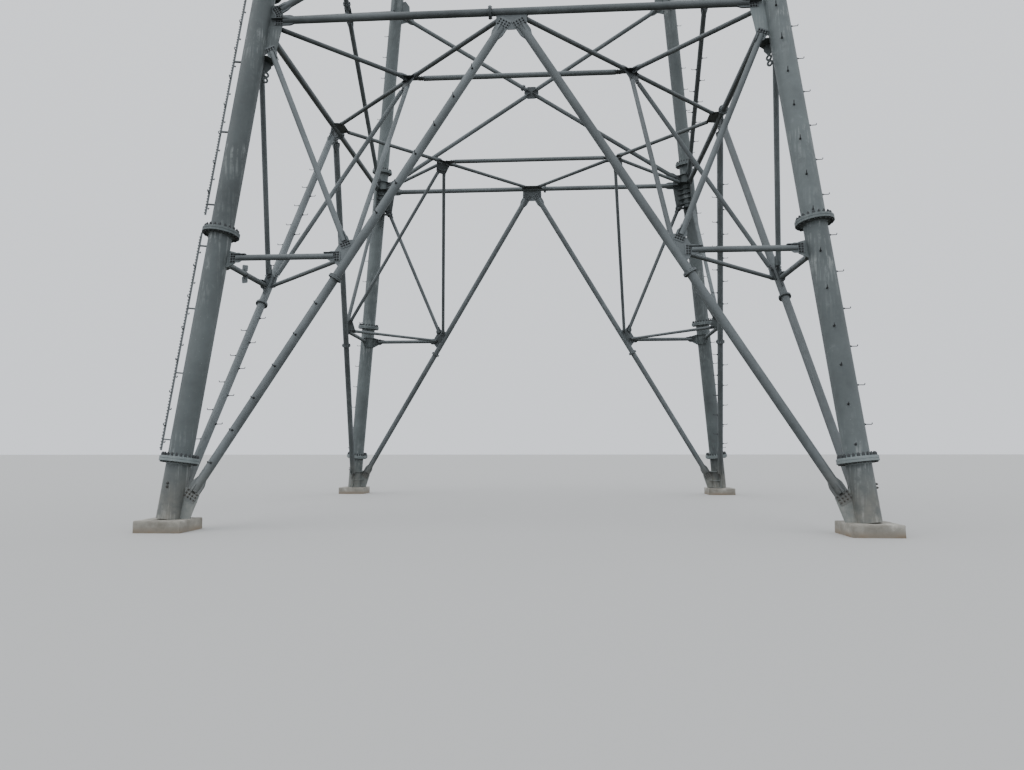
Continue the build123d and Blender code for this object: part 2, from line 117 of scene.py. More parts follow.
@dataclass(frozen=True)
class Tower:
    """Main lines of the tower.

    Attributes:
        half_width: half the distance between two leg axes at the ground
        lean: how far a leg leans in along each face for each metre up
        diaphragm_z: level of the diaphragm
        knee_z: level where the main diagonals are braced halfway up
        cross_top_z: level of the top ends of the crossed bracing
        diagonal_foot_z: level where a diagonal's axis meets the leg's
    """

    half_width: float = 8.0
    lean: float = 0.1
    diaphragm_z: float = 13.2
    knee_z: float = 6.65
    cross_top_z: float = 21.0
    diagonal_foot_z: float = -0.05

    def spread(self, height: float) -> float:
        """Half the distance between two leg axes at a height."""
        return self.half_width - self.lean * height

    def along(self, face: int) -> Vector:
        """Direction along a face, from its left end to its right end."""
        angle = math.radians(90 * (face % 4))
        return Vector((math.cos(angle), math.sin(angle), 0.0))

    def outward(self, face: int) -> Vector:
        """Level direction straight out of a face."""
        return self.along(face - 1)

    def leg_point(self, corner: int, height: float) -> Vector:
        """Point on a leg's axis."""
        half = self.spread(height)
        return self.outward(corner) * half - self.along(corner) * half + UP * height

    def leg_axis(self, corner: int) -> Vector:
        """Direction up a leg."""
        return (self.leg_point(corner, 1.0) - self.leg_point(corner, 0.0)).normalized()

    def square_to_leg(self, corner: int, direction: Vector) -> Vector:
        """The part of a direction that is square to a leg's axis, of length one."""
        axis = self.leg_axis(corner)
        return (direction - axis * direction.dot(axis)).normalized()

    def face_normal(self, face: int) -> Vector:
        """Direction square to a leaning face."""
        return (self.outward(face) + UP * self.lean).normalized()

    def face_of(self, corner: int, side: int) -> int:
        """The two faces that meet at a corner: side 0 is its own face, side 1 the one before."""
        return (corner - side) % 4

    def beside(self, corner: int, side: int) -> int:
        """The corner at the other end of one of a corner's two faces."""
        return (corner + 1 - 2 * side) % 4

    def span_middle(self, face: int) -> Vector:
        """Middle of a face's horizontal, on the diaphragm level."""
        return self.outward(face) * self.spread(self.diaphragm_z) + UP * self.diaphragm_z

    def diagonal_foot(self, corner: int) -> Vector:
        """Where the axes of a corner's two diagonals meet the leg's axis."""
        return self.leg_point(corner, self.diagonal_foot_z)

    def knee_point(self, corner: int, side: int) -> Vector:
        """Where a main diagonal is braced halfway up.

        Args:
            corner: corner that the diagonal starts from
            side: which of the corner's two faces it lies in

        Returns:
            The point on its axis.
        """
        start = self.diagonal_foot(corner)
        rise = (self.knee_z - self.diagonal_foot_z) / (self.diaphragm_z - self.diagonal_foot_z)
        return start.lerp(self.span_middle(self.face_of(corner, side)), rise)

    def hub_point(self, corner: int) -> Vector:
        """Node of the plan bracing in front of a corner."""
        return (self.span_middle(corner) + self.span_middle(corner - 1)) / 2

    def inward(self, corner: int) -> Vector:
        """Level direction from a leg towards the middle of the tower."""
        return (self.along(corner) - self.outward(corner)).normalized()

    def tie_partner(self, corner: int) -> int:
        """The corner that the front or back tie joins to this one."""
        return corner + 1 - 2 * (corner % 2)

    def hip_normal(self, corner: int) -> Vector:
        """Direction square to the plane of a corner's two hip struts and their tie."""
        hub = self.hub_point(corner)
        return (self.knee_point(corner, 0) - hub).cross(self.knee_point(corner, 1) - hub).normalized()

    def cross_centre(self, face: int) -> Vector:
        """Where the two diagonals of the crossed bracing meet.

        Args:
            face: face that they lie in

        Returns:
            The point.
        """
        lower, upper = self.spread(self.diaphragm_z), self.spread(self.cross_top_z)
        height = self.diaphragm_z + (self.cross_top_z - self.diaphragm_z) * lower / (lower + upper)
        return self.outward(face) * self.spread(height) + UP * height


TOWER = Tower()


def outline_round(points: Iterable[tuple[float, float]]) -> list[tuple[float, float]]:
    """Corners of the straight-sided outline that holds all the points, anticlockwise.

    Args:
        points: points in the plane of a plate

    Returns:
        The corners in order.
    """
    ordered = sorted({(round(x, 5), round(y, 5)) for x, y in points})
    chains: list[tuple[float, float]] = []
    for run in (ordered, ordered[::-1]):
        chain: list[tuple[float, float]] = []
        for point in run:
            while len(chain) > 1:
                (ax, ay), (bx, by) = chain[-2], chain[-1]
                if (bx - ax) * (point[1] - ay) - (by - ay) * (point[0] - ax) > 1e-7:
                    break
                chain.pop()
            chain.append(point)
        chains += chain[:-1]
    return chains


def clipped(ring: list[tuple[float, float]], clip: float) -> list[tuple[float, float]]:
    """The same outline with each corner cut off.

    Args:
        ring: corners in order
        clip: how far from the corner each cut starts

    Returns:
        The corners of the clipped outline.
    """
    cut: list[tuple[float, float]] = []
    count = len(ring)
    for k, (x, y) in enumerate(ring):
        for ox, oy in (ring[k - 1], ring[(k + 1) % count]):
            length = math.hypot(ox - x, oy - y)
            share = min(clip / length, 0.4)
            cut.append((x + (ox - x) * share, y + (oy - y) * share))
    return cut


def shrunk(ring: list[tuple[float, float]], edge: float) -> list[tuple[float, float]]:
    """The same outline moved in by a small edge width.

    Args:
        ring: corners in order, anticlockwise
        edge: how far every side moves in

    Returns:
        The corners of the smaller outline.
    """
    moved: list[tuple[float, float]] = []
    count = len(ring)
    for k, (x, y) in enumerate(ring):
        before = Vector((x - ring[k - 1][0], y - ring[k - 1][1])).normalized()
        after = Vector((ring[(k + 1) % count][0] - x, ring[(k + 1) % count][1] - y)).normalized()
        normal_a, normal_b = Vector((-before.y, before.x)), Vector((-after.y, after.x))
        shift = (normal_a + normal_b) / max(1.0 + normal_a.dot(normal_b), 0.3) * edge
        moved.append((x + shift.x, y + shift.y))
    return moved


@dataclass
class Shape:
    """Mesh data of one piece, collected part by part.

    Attributes:
        name: name of the piece
        tone: how light the parts that are added next are, from 0 to 1
        points: its points
        faces: numbers of the points round each face
        tones: how light it is at each point
        runs: strength of the run marks at each point
    """

    name: str
    tone: float = 0.5
    points: list[Vector] = field(default_factory=list)
    faces: list[tuple[int, ...]] = field(default_factory=list)
    tones: list[float] = field(default_factory=list)
    runs: list[float] = field(default_factory=list)

    def circle(self, centre: Vector, side: Vector, other: Vector, radius: float, segments: int,
               turn: float = 0.0) -> None:
        """Add a ring of points.

        Args:
            centre: middle of the ring
            side: direction in its plane
            other: direction in its plane, square to side
            radius: radius of the ring
            segments: number of points
            turn: angle that the points are turned by
        """
        for k in range(segments):
            angle = turn + math.tau * k / segments
            self.points.append(centre + (side * math.cos(angle) + other * math.sin(angle)) * radius)

    def cover(self, start: int, count: int, runs: Sequence[float], loop: bool = False) -> None:
        """Cover the rings of points that were added last with faces.

        Args:
            start: number of the first ring's first point
            count: points in a ring
            runs: strength of the run marks at each ring
            loop: whether the last ring joins the first. If not, both ends are closed.
        """
        rings = len(runs)
        for i in range(rings if loop else rings - 1):
            a, b = start + i * count, start + (i + 1) % rings * count
            self.faces += [(a + k, a + (k + 1) % count, b + (k + 1) % count, b + k) for k in range(count)]
        if not loop:
            last = start + (rings - 1) * count
            self.faces += [tuple(reversed(range(start, start + count))), tuple(range(last, last + count))]
        self.tones += [self.tone] * (rings * count)
        self.runs += [run for run in runs for _ in range(count)]

    def turned(self, origin: Vector, axis: Vector, profile: Profile, segments: int = 32,
               runs: Sequence[float] | None = None, turn: float = 0.0, loop: bool = False) -> None:
        """Add a turned form.

        Args:
            origin: point on the axis that distances are measured from
            axis: direction of the axis
            profile: pairs of distance along the axis and radius, from one end to the other
            segments: number of sides
            runs: strength of the run marks at each pair
            turn: angle that the sides are turned by
            loop: whether the last pair joins the first, as in a ring
        """
        axis = axis.normalized()
        side = axis.orthogonal().normalized()
        start = len(self.points)
        for distance, radius in profile:
            self.circle(origin + axis * distance, side, axis.cross(side), radius, segments, turn)
        self.cover(start, segments, runs or [0.0] * len(profile), loop)

    def plate(self, origin: Vector, normal: Vector, corners: Sequence[Vector], thickness: float,
              clip: float = 0.0, edge: float = 0.003, run: float = 0.0) -> None:
        """Add a flat plate with small worn edges round the given corners.

        Args:
            origin: point in the middle of the plate's thickness
            normal: direction square to the plate
            corners: points that the outline goes round
            thickness: thickness of the plate
            clip: how far each corner is cut off
            edge: width of the worn edges
            run: strength of the run marks
        """
        normal = normal.normalized()
        u = normal.orthogonal().normalized()
        v = normal.cross(u)
        ring = outline_round(((c - origin).dot(u), (c - origin).dot(v)) for c in corners)
        if clip:
            ring = clipped(ring, clip)
        inner = shrunk(ring, edge)
        half = thickness / 2
        start = len(self.points)
        for loop, level in ((inner, -half), (ring, edge - half), (ring, half - edge), (inner, half)):
            self.points += [origin + u * x + v * y + normal * level for x, y in loop]
        self.cover(start, len(ring), [run] * 4)

    def rod(self, path: Sequence[Vector], radius: float, segments: int = 10) -> None:
        """Add a round rod along a path of straight runs.

        Args:
            path: points that the rod passes
            radius: radius of the rod
            segments: number of sides
        """
        start = len(self.points)
        side = (path[1] - path[0]).orthogonal().normalized()
        for k, point in enumerate(path):
            ahead = path[min(k + 1, len(path) - 1)] - point
            behind = point - path[max(k - 1, 0)]
            way = (ahead.normalized() + behind.normalized()).normalized()
            side = (side - way * side.dot(way)).normalized()
            self.circle(point, side, way.cross(side), radius, segments)
        self.cover(start, segments, [0.0] * len(path))

    def bolt(self, point: Vector, axis: Vector, grip: float, diameter: float, turn: float = 0.0,
             nuts: float = 0.85) -> None:
        """Add a bolt with washers, its nuts and the end of its shank on the axis side.

        Args:
            point: middle of the plates that it holds
            axis: direction from the head to the nuts
            grip: thickness of the plates that it holds
            diameter: diameter of the shank
            turn: angle that the hexagons are turned by
            nuts: height of the nuts in diameters
        """
        radius, washer = diameter * 0.9, diameter * 0.15
        for way, height in ((axis, nuts * diameter), (-axis, diameter * 0.65)):
            seat = point + way * (grip / 2)
            self.turned(seat, way, [(0.0, radius * 1.18), (washer, radius * 1.18)], 12)
            top = washer + height
            profile = [(washer, radius), (top - diameter * 0.12, radius), (top, radius * 0.86)]
            if nuts > 1.0 and way is axis:
                gap = washer + height * 0.55
                profile[1:1] = [(gap - 0.002, radius), (gap, radius * 0.84), (gap + 0.002, radius)]
            self.turned(seat, way, profile, 6, turn=turn)
        seat = point + axis * (grip / 2 + washer + nuts * diameter - 0.002)
        self.turned(seat, axis, [(0.0, diameter * 0.5), (diameter * 0.5, diameter * 0.5),
                                 (diameter * 0.6, diameter * 0.42)], 10)

    def make(self, material: bpy.types.Material, slot: str, nodes: Sequence[str] = ()) -> bpy.types.Object:
        """Turn the collected parts into a piece that rides on the tower.

        Args:
            material: finish of the piece
            slot: the record's material slot; not used
            nodes: names of the nodes that the piece stands for

        Returns:
            The new object.
        """
        mesh = bpy.data.meshes.new(self.name)
        mesh.from_pydata([tuple(p) for p in self.points], [], self.faces)
        for label, values in (("tone", self.tones), ("run", self.runs)):
            layer = mesh.attributes.new(label, "FLOAT", "POINT")
            layer.data.foreach_set("value", values)
        mesh.shade_smooth()
        mesh.set_sharp_from_angle(angle=math.radians(32))
        mesh.materials.append(material)
        piece = bpy.data.objects.new(self.name, mesh)
        bpy.context.scene.collection.objects.link(piece)
        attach(piece, "root")
        if nodes:
            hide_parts(*nodes)
        LOG.info("%s: %d faces", self.name, len(self.faces))
        return piece


class NodeSheet:
    """Shader nodes of one material, with short calls to add and join them."""

    def __init__(self, name: str) -> None:
        """Make a material with an empty node sheet.

        Args:
            name: name of the material
        """
        self.material = bpy.data.materials.new(name)
        self.material.use_nodes = True
        self.tree = self.material.node_tree
        self.tree.nodes.clear()
        out = self.tree.nodes.new("ShaderNodeOutputMaterial")
        self.shader = self.tree.nodes.new("ShaderNodeBsdfPrincipled")
        self.tree.links.new(self.shader.outputs[0], out.inputs["Surface"])
        self.place = self.tree.nodes.new("ShaderNodeTexCoord").outputs["Object"]

    def put(self, socket: bpy.types.NodeSocket, value: object) -> None:
        """Join an output to a socket, or set the socket's own value.

        Args:
            socket: input socket
            value: output socket, number or colour
        """
        if isinstance(value, bpy.types.NodeSocket):
            self.tree.links.new(value, socket)
        elif isinstance(value, tuple) and len(value) == 3 and len(socket.default_value) == 4:
            socket.default_value = (*value, 1.0)
        else:
            socket.default_value = value

    def add(self, kind: str, inputs: dict[str | int, object]) -> bpy.types.Node:
        """Add a node and fill its inputs.

        Args:
            kind: type of the node, without its prefix
            inputs: output socket, number or colour for each input

        Returns:
            The node.
        """
        node = self.tree.nodes.new(f"ShaderNode{kind}")
        for label, value in inputs.items():
            self.put(node.inputs[label], value)
        return node

    def noise(self, scale: float, stretch: Colour = (1.0, 1.0, 1.0), detail: float = 4.0,
              roughness: float = 0.55) -> bpy.types.NodeSocket:
        """Add a noise in object space.

        Args:
            scale: waves in a metre
            stretch: factors on the three directions
            detail: octaves
            roughness: strength of the fine octaves

        Returns:
            The noise value.
        """
        mapping = self.add("Mapping", {"Scale": stretch, "Vector": self.place})
        return self.add("TexNoise", {"Scale": scale, "Detail": detail, "Roughness": roughness,
                                     "Vector": mapping.outputs[0]}).outputs["Fac"]

    def spots(self, scale: float, reach: float) -> bpy.types.NodeSocket:
        """Add scattered round spots.

        Args:
            scale: cells in a metre
            reach: radius of a spot in cells

        Returns:
            One in the middle of a spot and nought outside.
        """
        node = self.add("TexVoronoi", {"Scale": scale, "Vector": self.place})
        return self.window(node.outputs["Distance"], reach, reach * 0.4)

    def window(self, value: bpy.types.NodeSocket, low: float, high: float,
               bottom: float = 0.0, top: float = 1.0) -> bpy.types.NodeSocket:
        """Stretch a value between two limits.

        Args:
            value: the value
            low: value that gives bottom
            high: value that gives top
            bottom: result at low
            top: result at high

        Returns:
            The stretched value, held between bottom and top.
        """
        node = self.add("MapRange", {"Value": value, "From Min": low, "From Max": high,
                                     "To Min": bottom, "To Max": top})
        node.clamp = True
        return node.outputs[0]

    def math(self, kind: str, first: object, second: object) -> bpy.types.NodeSocket:
        """Join two values with a plain sum.

        Args:
            kind: name of the sum
            first: first value
            second: second value

        Returns:
            The result.
        """
        node = self.add("Math", {0: first, 1: second})
        node.operation = kind
        return node.outputs[0]

    def blend(self, share: object, first: object, second: object) -> bpy.types.NodeSocket:
        """Blend two colours.

        Args:
            share: how much of the second colour shows
            first: first colour
            second: second colour

        Returns:
            The blended colour.
        """
        node = self.add("Mix", {0: share, 6: first, 7: second})
        node.data_type = "RGBA"
        return node.outputs[2]

    def over(self, colour: object, paint: Colour, *masks: object) -> bpy.types.NodeSocket:
        """Lay a paint over a colour where all its masks show it.

        Args:
            colour: the colour below
            paint: colour of the paint
            masks: shares that are multiplied by each other

        Returns:
            The new colour.
        """
        share = masks[0]
        for mask in masks[1:]:
            share = self.math("MULTIPLY", share, mask)
        return self.blend(share, colour, paint)

    def scaled(self, colour: bpy.types.NodeSocket, factor: bpy.types.NodeSocket) -> bpy.types.NodeSocket:
        """Make a colour lighter or darker.

        Args:
            colour: the colour
            factor: what its brightness is multiplied by

        Returns:
            The new colour.
        """
        node = self.add("VectorMath", {0: colour})
        node.operation = "SCALE"
        self.put(node.inputs["Scale"], factor)
        return node.outputs[0]

    def attribute(self, label: str) -> bpy.types.NodeSocket:
        """Add a value that the mesh carries.

        Args:
            label: name of the value

        Returns:
            The value.
        """
        node = self.add("Attribute", {})
        node.attribute_name = label
        return node.outputs["Fac"]

    def height(self) -> bpy.types.NodeSocket:
        """Height above the ground."""
        return self.add("SeparateXYZ", {0: self.place}).outputs[2]

    def bump(self, value: bpy.types.NodeSocket, strength: float, distance: float,
             before: bpy.types.NodeSocket | None = None) -> bpy.types.NodeSocket:
        """Add relief.

        Args:
            value: height of the relief from 0 to 1
            strength: how much of it shows
            distance: height in metres
            before: relief that this one is added to

        Returns:
            The new normal.
        """
        node = self.add("Bump", {"Strength": strength, "Distance": distance, "Height": value})
        if before:
            self.put(node.inputs["Normal"], before)
        return node.outputs[0]


@dataclass(frozen=True)
class SteelFinish:
    """Weathered zinc-coated steel.

    Attributes:
        name: name of the finish
        body: main colour
        dark: colour of the damp and dirty parts
        pale: colour of the chalky run marks
        dust: colour of the soil that splashes near the ground
        rust: colour of the rusty specks
        metallic: how metallic the coat looks
        roughness: roughness of the clean coat
        rust_share: how many rusty specks show
    """

    name: str
    body: Colour = (0.215, 0.248, 0.250)
    dark: Colour = (0.105, 0.122, 0.124)
    pale: Colour = (0.44, 0.47, 0.46)
    dust: Colour = (0.40, 0.36, 0.29)
    rust: Colour = (0.19, 0.095, 0.045)
    metallic: float = 0.15
    roughness: float = 0.58
    rust_share: float = 0.2

    def material(self) -> bpy.types.Material:
        """Build the material.

        Returns:
            The material.
        """
        sheet = NodeSheet(self.name)
        broad = sheet.noise(0.55, detail=5.0)
        clouds = sheet.noise(3.2, detail=6.0, roughness=0.65)
        streak = sheet.noise(1.0, (16.0, 16.0, 0.55), detail=5.0, roughness=0.6)
        fine = sheet.noise(120.0, detail=3.0)
        level = sheet.math("ADD", sheet.math("MULTIPLY", broad, 0.6), sheet.math("MULTIPLY", clouds, 0.4))
        colour = sheet.blend(sheet.window(level, 0.3, 0.68), self.dark, self.body)
        colour = sheet.scaled(colour, sheet.window(sheet.attribute("tone"), 0.0, 1.0, 0.62, 1.5))
        grime = sheet.window(streak, 0.56, 0.74)
        colour = sheet.over(colour, self.dark, grime, 0.25)
        drips = (sheet.window(streak, 0.5, 0.6), sheet.window(clouds, 0.42, 0.58))
        colour = sheet.over(colour, self.pale, *drips, sheet.attribute("run"), 0.75)
        chalk = sheet.window(clouds, 0.64, 0.76)
        colour = sheet.over(colour, self.pale, chalk, 0.2)
        specks = (sheet.spots(34.0, 0.16), sheet.window(clouds, 0.5, 0.62))
        colour = sheet.over(colour, self.dark, *specks, 0.55)
        lichen = (sheet.spots(11.0, 0.1), sheet.window(broad, 0.45, 0.6))
        colour = sheet.over(colour, self.pale, *lichen, 0.5)
        rusty = (sheet.spots(21.0, 0.12), sheet.window(clouds, 0.45, 0.35))
        colour = sheet.over(colour, self.rust, *rusty, self.rust_share)
        splash = (sheet.window(sheet.height(), 1.7, 0.25), sheet.window(clouds, 0.3, 0.7, 0.1, 0.5))
        colour = sheet.over(colour, self.dust, *splash)
        sheet.put(sheet.shader.inputs["Base Color"], colour)
        sheet.shader.inputs["Metallic"].default_value = self.metallic
        gloss = sheet.window(clouds, 0.3, 0.75, self.roughness - 0.08, self.roughness + 0.16)
        sheet.put(sheet.shader.inputs["Roughness"], gloss)
        relief = sheet.bump(fine, 0.25, 0.0012)
        relief = sheet.bump(clouds, 0.35, 0.004, relief)
        sheet.put(sheet.shader.inputs["Normal"], relief)
        return sheet.material


@dataclass(frozen=True)
class ConcreteFinish:
    """Cast concrete that stands in the open.

    Attributes:
        name: name of the finish
        body: main colour
        dark: colour of the damp parts
        pale: colour of the chalky parts
        soil: colour of the soil near the ground
    """

    name: str = "cast_concrete"
    body: Colour = (0.47, 0.45, 0.40)
    dark: Colour = (0.25, 0.235, 0.20)
    pale: Colour = (0.62, 0.60, 0.55)
    soil: Colour = (0.23, 0.17, 0.11)

    def material(self) -> bpy.types.Material:
        """Build the material.

        Returns:
            The material.
        """
        sheet = NodeSheet(self.name)
        clouds = sheet.noise(2.6, detail=8.0, roughness=0.62)
        grit = sheet.noise(70.0, detail=4.0)
        boards = sheet.noise(1.0, (0.6, 0.6, 22.0), detail=3.0)
        pits = sheet.spots(38.0, 0.14)
        colour = sheet.blend(sheet.window(clouds, 0.35, 0.68), self.dark, self.body)
        colour = sheet.over(colour, self.pale, sheet.window(clouds, 0.58, 0.78))
        colour = sheet.over(colour, self.dark, sheet.window(grit, 0.56, 0.7), 0.35)
        colour = sheet.over(colour, self.dark, pits, 0.6)
        damp = (sheet.window(sheet.height(), 0.16, 0.0), sheet.window(clouds, 0.25, 0.6))
        colour = sheet.over(colour, self.soil, *damp)
        sheet.put(sheet.shader.inputs["Base Color"], colour)
        sheet.put(sheet.shader.inputs["Roughness"], sheet.window(clouds, 0.3, 0.7, 0.82, 0.95))
        relief = sheet.bump(grit, 0.5, 0.003)
        relief = sheet.bump(boards, 0.35, 0.006, relief)
        hollow = sheet.math("SUBTRACT", 1.0, pits)
        relief = sheet.bump(hollow, 0.6, 0.004, relief)
        sheet.put(sheet.shader.inputs["Normal"], relief)
        return sheet.material


@dataclass(frozen=True)
class Finishes:
    """The finishes of the tower, built once.

    Attributes:
        legs: finish of the legs
        braces: finish of the bracing
        rail: finish of the climbing rail
        fasteners: finish of all bolts and nuts, partly their own darker zinc and partly painted shade
        concrete: finish of the pedestals
    """

    legs: bpy.types.Material
    braces: bpy.types.Material
    rail: bpy.types.Material
    fasteners: bpy.types.Material
    concrete: bpy.types.Material

    @classmethod
    def build(cls) -> "Finishes":
        """Build every finish.

        Returns:
            The finishes.
        """
        braces = SteelFinish("brace_zinc", body=(0.19, 0.213, 0.22), dark=(0.085, 0.097, 0.10))
        rail = SteelFinish("rail_zinc", body=(0.17, 0.185, 0.19), dark=(0.09, 0.098, 0.10), metallic=0.3)
        # The bolts' zinc is much darker than the rest: partly its own darker coat, partly painted shade of
        # the shadows round the bolts.
        bolts = SteelFinish("bolt_zinc_with_painted_shade", body=(0.085, 0.092, 0.095), dark=(0.035, 0.038, 0.04),
                            pale=(0.22, 0.24, 0.24), metallic=0.35, roughness=0.5, rust_share=0.6)
        return cls(SteelFinish("leg_zinc").material(), braces.material(), rail.material(),
                   bolts.material(), ConcreteFinish().material())


def tongue(start: Vector, end: Vector, reach: float, width: float, normal: Vector) -> list[Vector]:
    """The two corners of a strip of plate that runs from start towards end.

    Args:
        start: where the strip starts
        end: point that it runs towards
        reach: length of the strip
        width: width of the strip
        normal: direction square to the plate

    Returns:
        The corners of its far end.
    """
    axis = (end - start).normalized()
    side = axis.cross(normal).normalized() * (width / 2)
    tip = start + axis * reach
    return [tip + side, tip - side]


class Bar(Enum):
    """Kinds of bracing tubes, each with its diameter, its two cuts and the kind of its ends."""

    DIAGONAL = (0.219, (1.15, 0.52), TubeEnd.DIAGONAL)
    HORIZONTAL = (0.194, (0.64, 0.64), TubeEnd.LEVEL)
    CROSSED = (0.18, (0.23, 0.64), TubeEnd.CROSSED)
    LOW_STRUT = (0.15, (0.5, 0.4), TubeEnd.STRUT)
    HIGH_STRUT = (0.15, (1.0, 0.41), TubeEnd.STRUT)
    HIP = (0.133, (0.48, 0.45), TubeEnd.LIGHT)
    KNEE_TIE = (0.114, (0.42, 0.42), TubeEnd.LIGHT)
    HUB_TO_LEG = (0.133, (0.26, 0.62), TubeEnd.LIGHT)
    HUB_TO_SPAN = (0.133, (0.26, 0.5), TubeEnd.LIGHT)
    HUB_TIE = (0.159, (0.42, 0.42), TubeEnd.TIE)

    def __init__(self, diameter: float, cuts: tuple[float, float], kind: TubeEnd) -> None:
        """Keep the sizes of a kind of tube.

        Args:
            diameter: outer diameter
            cuts: distances from the working points to the ends of the tube
            kind: how its ends are made
        """
        self.diameter, self.cuts, self.style = diameter, cuts, kind.value

    def lap(self, node: Vector, far: Vector, normal: Vector, end: int = 0) -> list[Vector]:
        """Corners of the part of a gusset that the tube's end plates lie on.

        Args:
            node: working point of the gusset
            far: working point at the tube's other end
            normal: direction square to the gusset
            end: 0 where the gusset is at the tube's start, 1 where it is at its end

        Returns:
            The corners of that part's far end.
        """
        width = self.diameter + 2 * self.style.wing + 0.03
        return tongue(node, far, self.cuts[end] - LAP_GAP, width, normal)


@dataclass(frozen=True)
class Joint:
    """One end of a bracing tube, where its plates lie on a gusset.

    Attributes:
        node: working point at this end
        far: working point at the other end
        cut: distance from the working point to the end of the tube
        diameter: diameter of the tube
        normal: direction square to the gusset
        style: how the end is made
        thickness: thickness of the plates
        margin: distance from the end of a plate to the first row of bolts
        narrowing: how much narrower than the plates a row of bolts is
        bolt: diameter of a bolt
        stiffener: thickness of a stiffener
        root: distance of a stiffener's inner edge from the middle of the gusset
        rise: how far a stiffener stands out over the tube
        reach: how far stiffeners and cap run back along the tube
        slopes: how far a stiffener's edge rises at its start and stays level past the tube's end
        shoulder: where a plate starts to narrow, as a share of its length over the tube
        neck: how far inside the tube's outline plates and stiffeners end
        clip: how far a plate's corners are cut off
        cap_lift: distance of the cap from the tube
        cap_lap: how far the cap runs past the end of the tube
        cap_width: width of the cap
    """

    node: Vector
    far: Vector
    cut: float
    diameter: float
    normal: Vector
    style: EndStyle
    thickness: float = 0.014
    margin: float = 0.03
    narrowing: float = 0.07
    bolt: float = 0.024
    stiffener: float = 0.012
    root: float = 0.024
    rise: float = 0.035
    reach: float = 0.26
    slopes: tuple[float, float] = (0.03, 0.04)
    shoulder: float = 0.55
    neck: float = 0.01
    clip: float = 0.018
    cap_lift: float = 0.012
    cap_lap: float = 0.06
    cap_width: float = 0.15

    def build(self, steel: Shape, fasteners: Shape, rng: random.Random) -> None:
        """Add the end plates, their stiffeners and the bolts.

        Args:
            steel: piece that the plates belong to
            fasteners: piece that the bolts belong to
            rng: source of small differences
        """
        style = self.style
        axis = (self.far - self.node).normalized()
        side = axis.cross(self.normal).normalized()
        half, radius = self.diameter / 2 + style.wing, self.diameter / 2
        outline = ((-style.lap, half), (style.tail * self.shoulder, half),
                   (style.tail, radius - self.neck))
        corners = [self.node + axis * (self.cut + reach) + side * width * sign
                   for reach, width in outline for sign in (1, -1)]
        for sign in style.sides:
            shift = self.normal * (GUSSET / 2 + self.thickness / 2) * sign
            steel.plate(self.node + shift, self.normal, [c + shift for c in corners], self.thickness,
                        clip=self.clip, edge=FINE_EDGE)
        if style.cross:
            self.stiffeners(steel)
        if style.cap:
            top = side if side.z > 0 else -side
            middle = self.node + top * (radius + self.cap_lift)
            corners = [middle + axis * (self.cut + reach) + self.normal * (self.cap_width / 2 * sign)
                       for reach in (-self.cap_lap, self.reach) for sign in (-1, 1)]
            steel.plate(middle, top, corners, self.thickness, clip=0.02, edge=FINE_EDGE)
        pitch = (style.lap - LAP_GAP - self.margin) / style.rows
        grip = GUSSET + self.thickness * len(style.sides)
        middle = self.normal * (self.thickness / 2 if len(style.sides) == 1 else 0.0)
        for row in range(style.rows):
            reach = self.cut - LAP_GAP - self.margin - pitch * row
            for column in range(style.columns):
                across = (column / (style.columns - 1) - 0.5) * (2 * half - self.narrowing)
                point = self.node + axis * reach + side * across + middle
                fasteners.bolt(point, self.normal, grip, self.bolt, rng.uniform(0.0, 1.0))

    def stiffeners(self, steel: Shape) -> None:
        """Add the pair of stiffeners that stand square to the end plates.

        Args:
            steel: piece that they belong to
        """
        axis = (self.far - self.node).normalized()
        start, end, radius = self.cut - self.style.cross, self.cut + self.reach, self.diameter / 2
        rising, level = self.slopes
        profile = ((start, self.root), (start + rising, radius + self.rise),
                   (self.cut + level, radius + self.rise), (end, radius - self.neck), (end, self.root))
        for sign in (1, -1):
            corners = [self.node + axis * reach + self.normal * width * sign for reach, width in profile]
            steel.plate(self.node, axis.cross(self.normal), corners, self.stiffener, edge=FINE_EDGE)


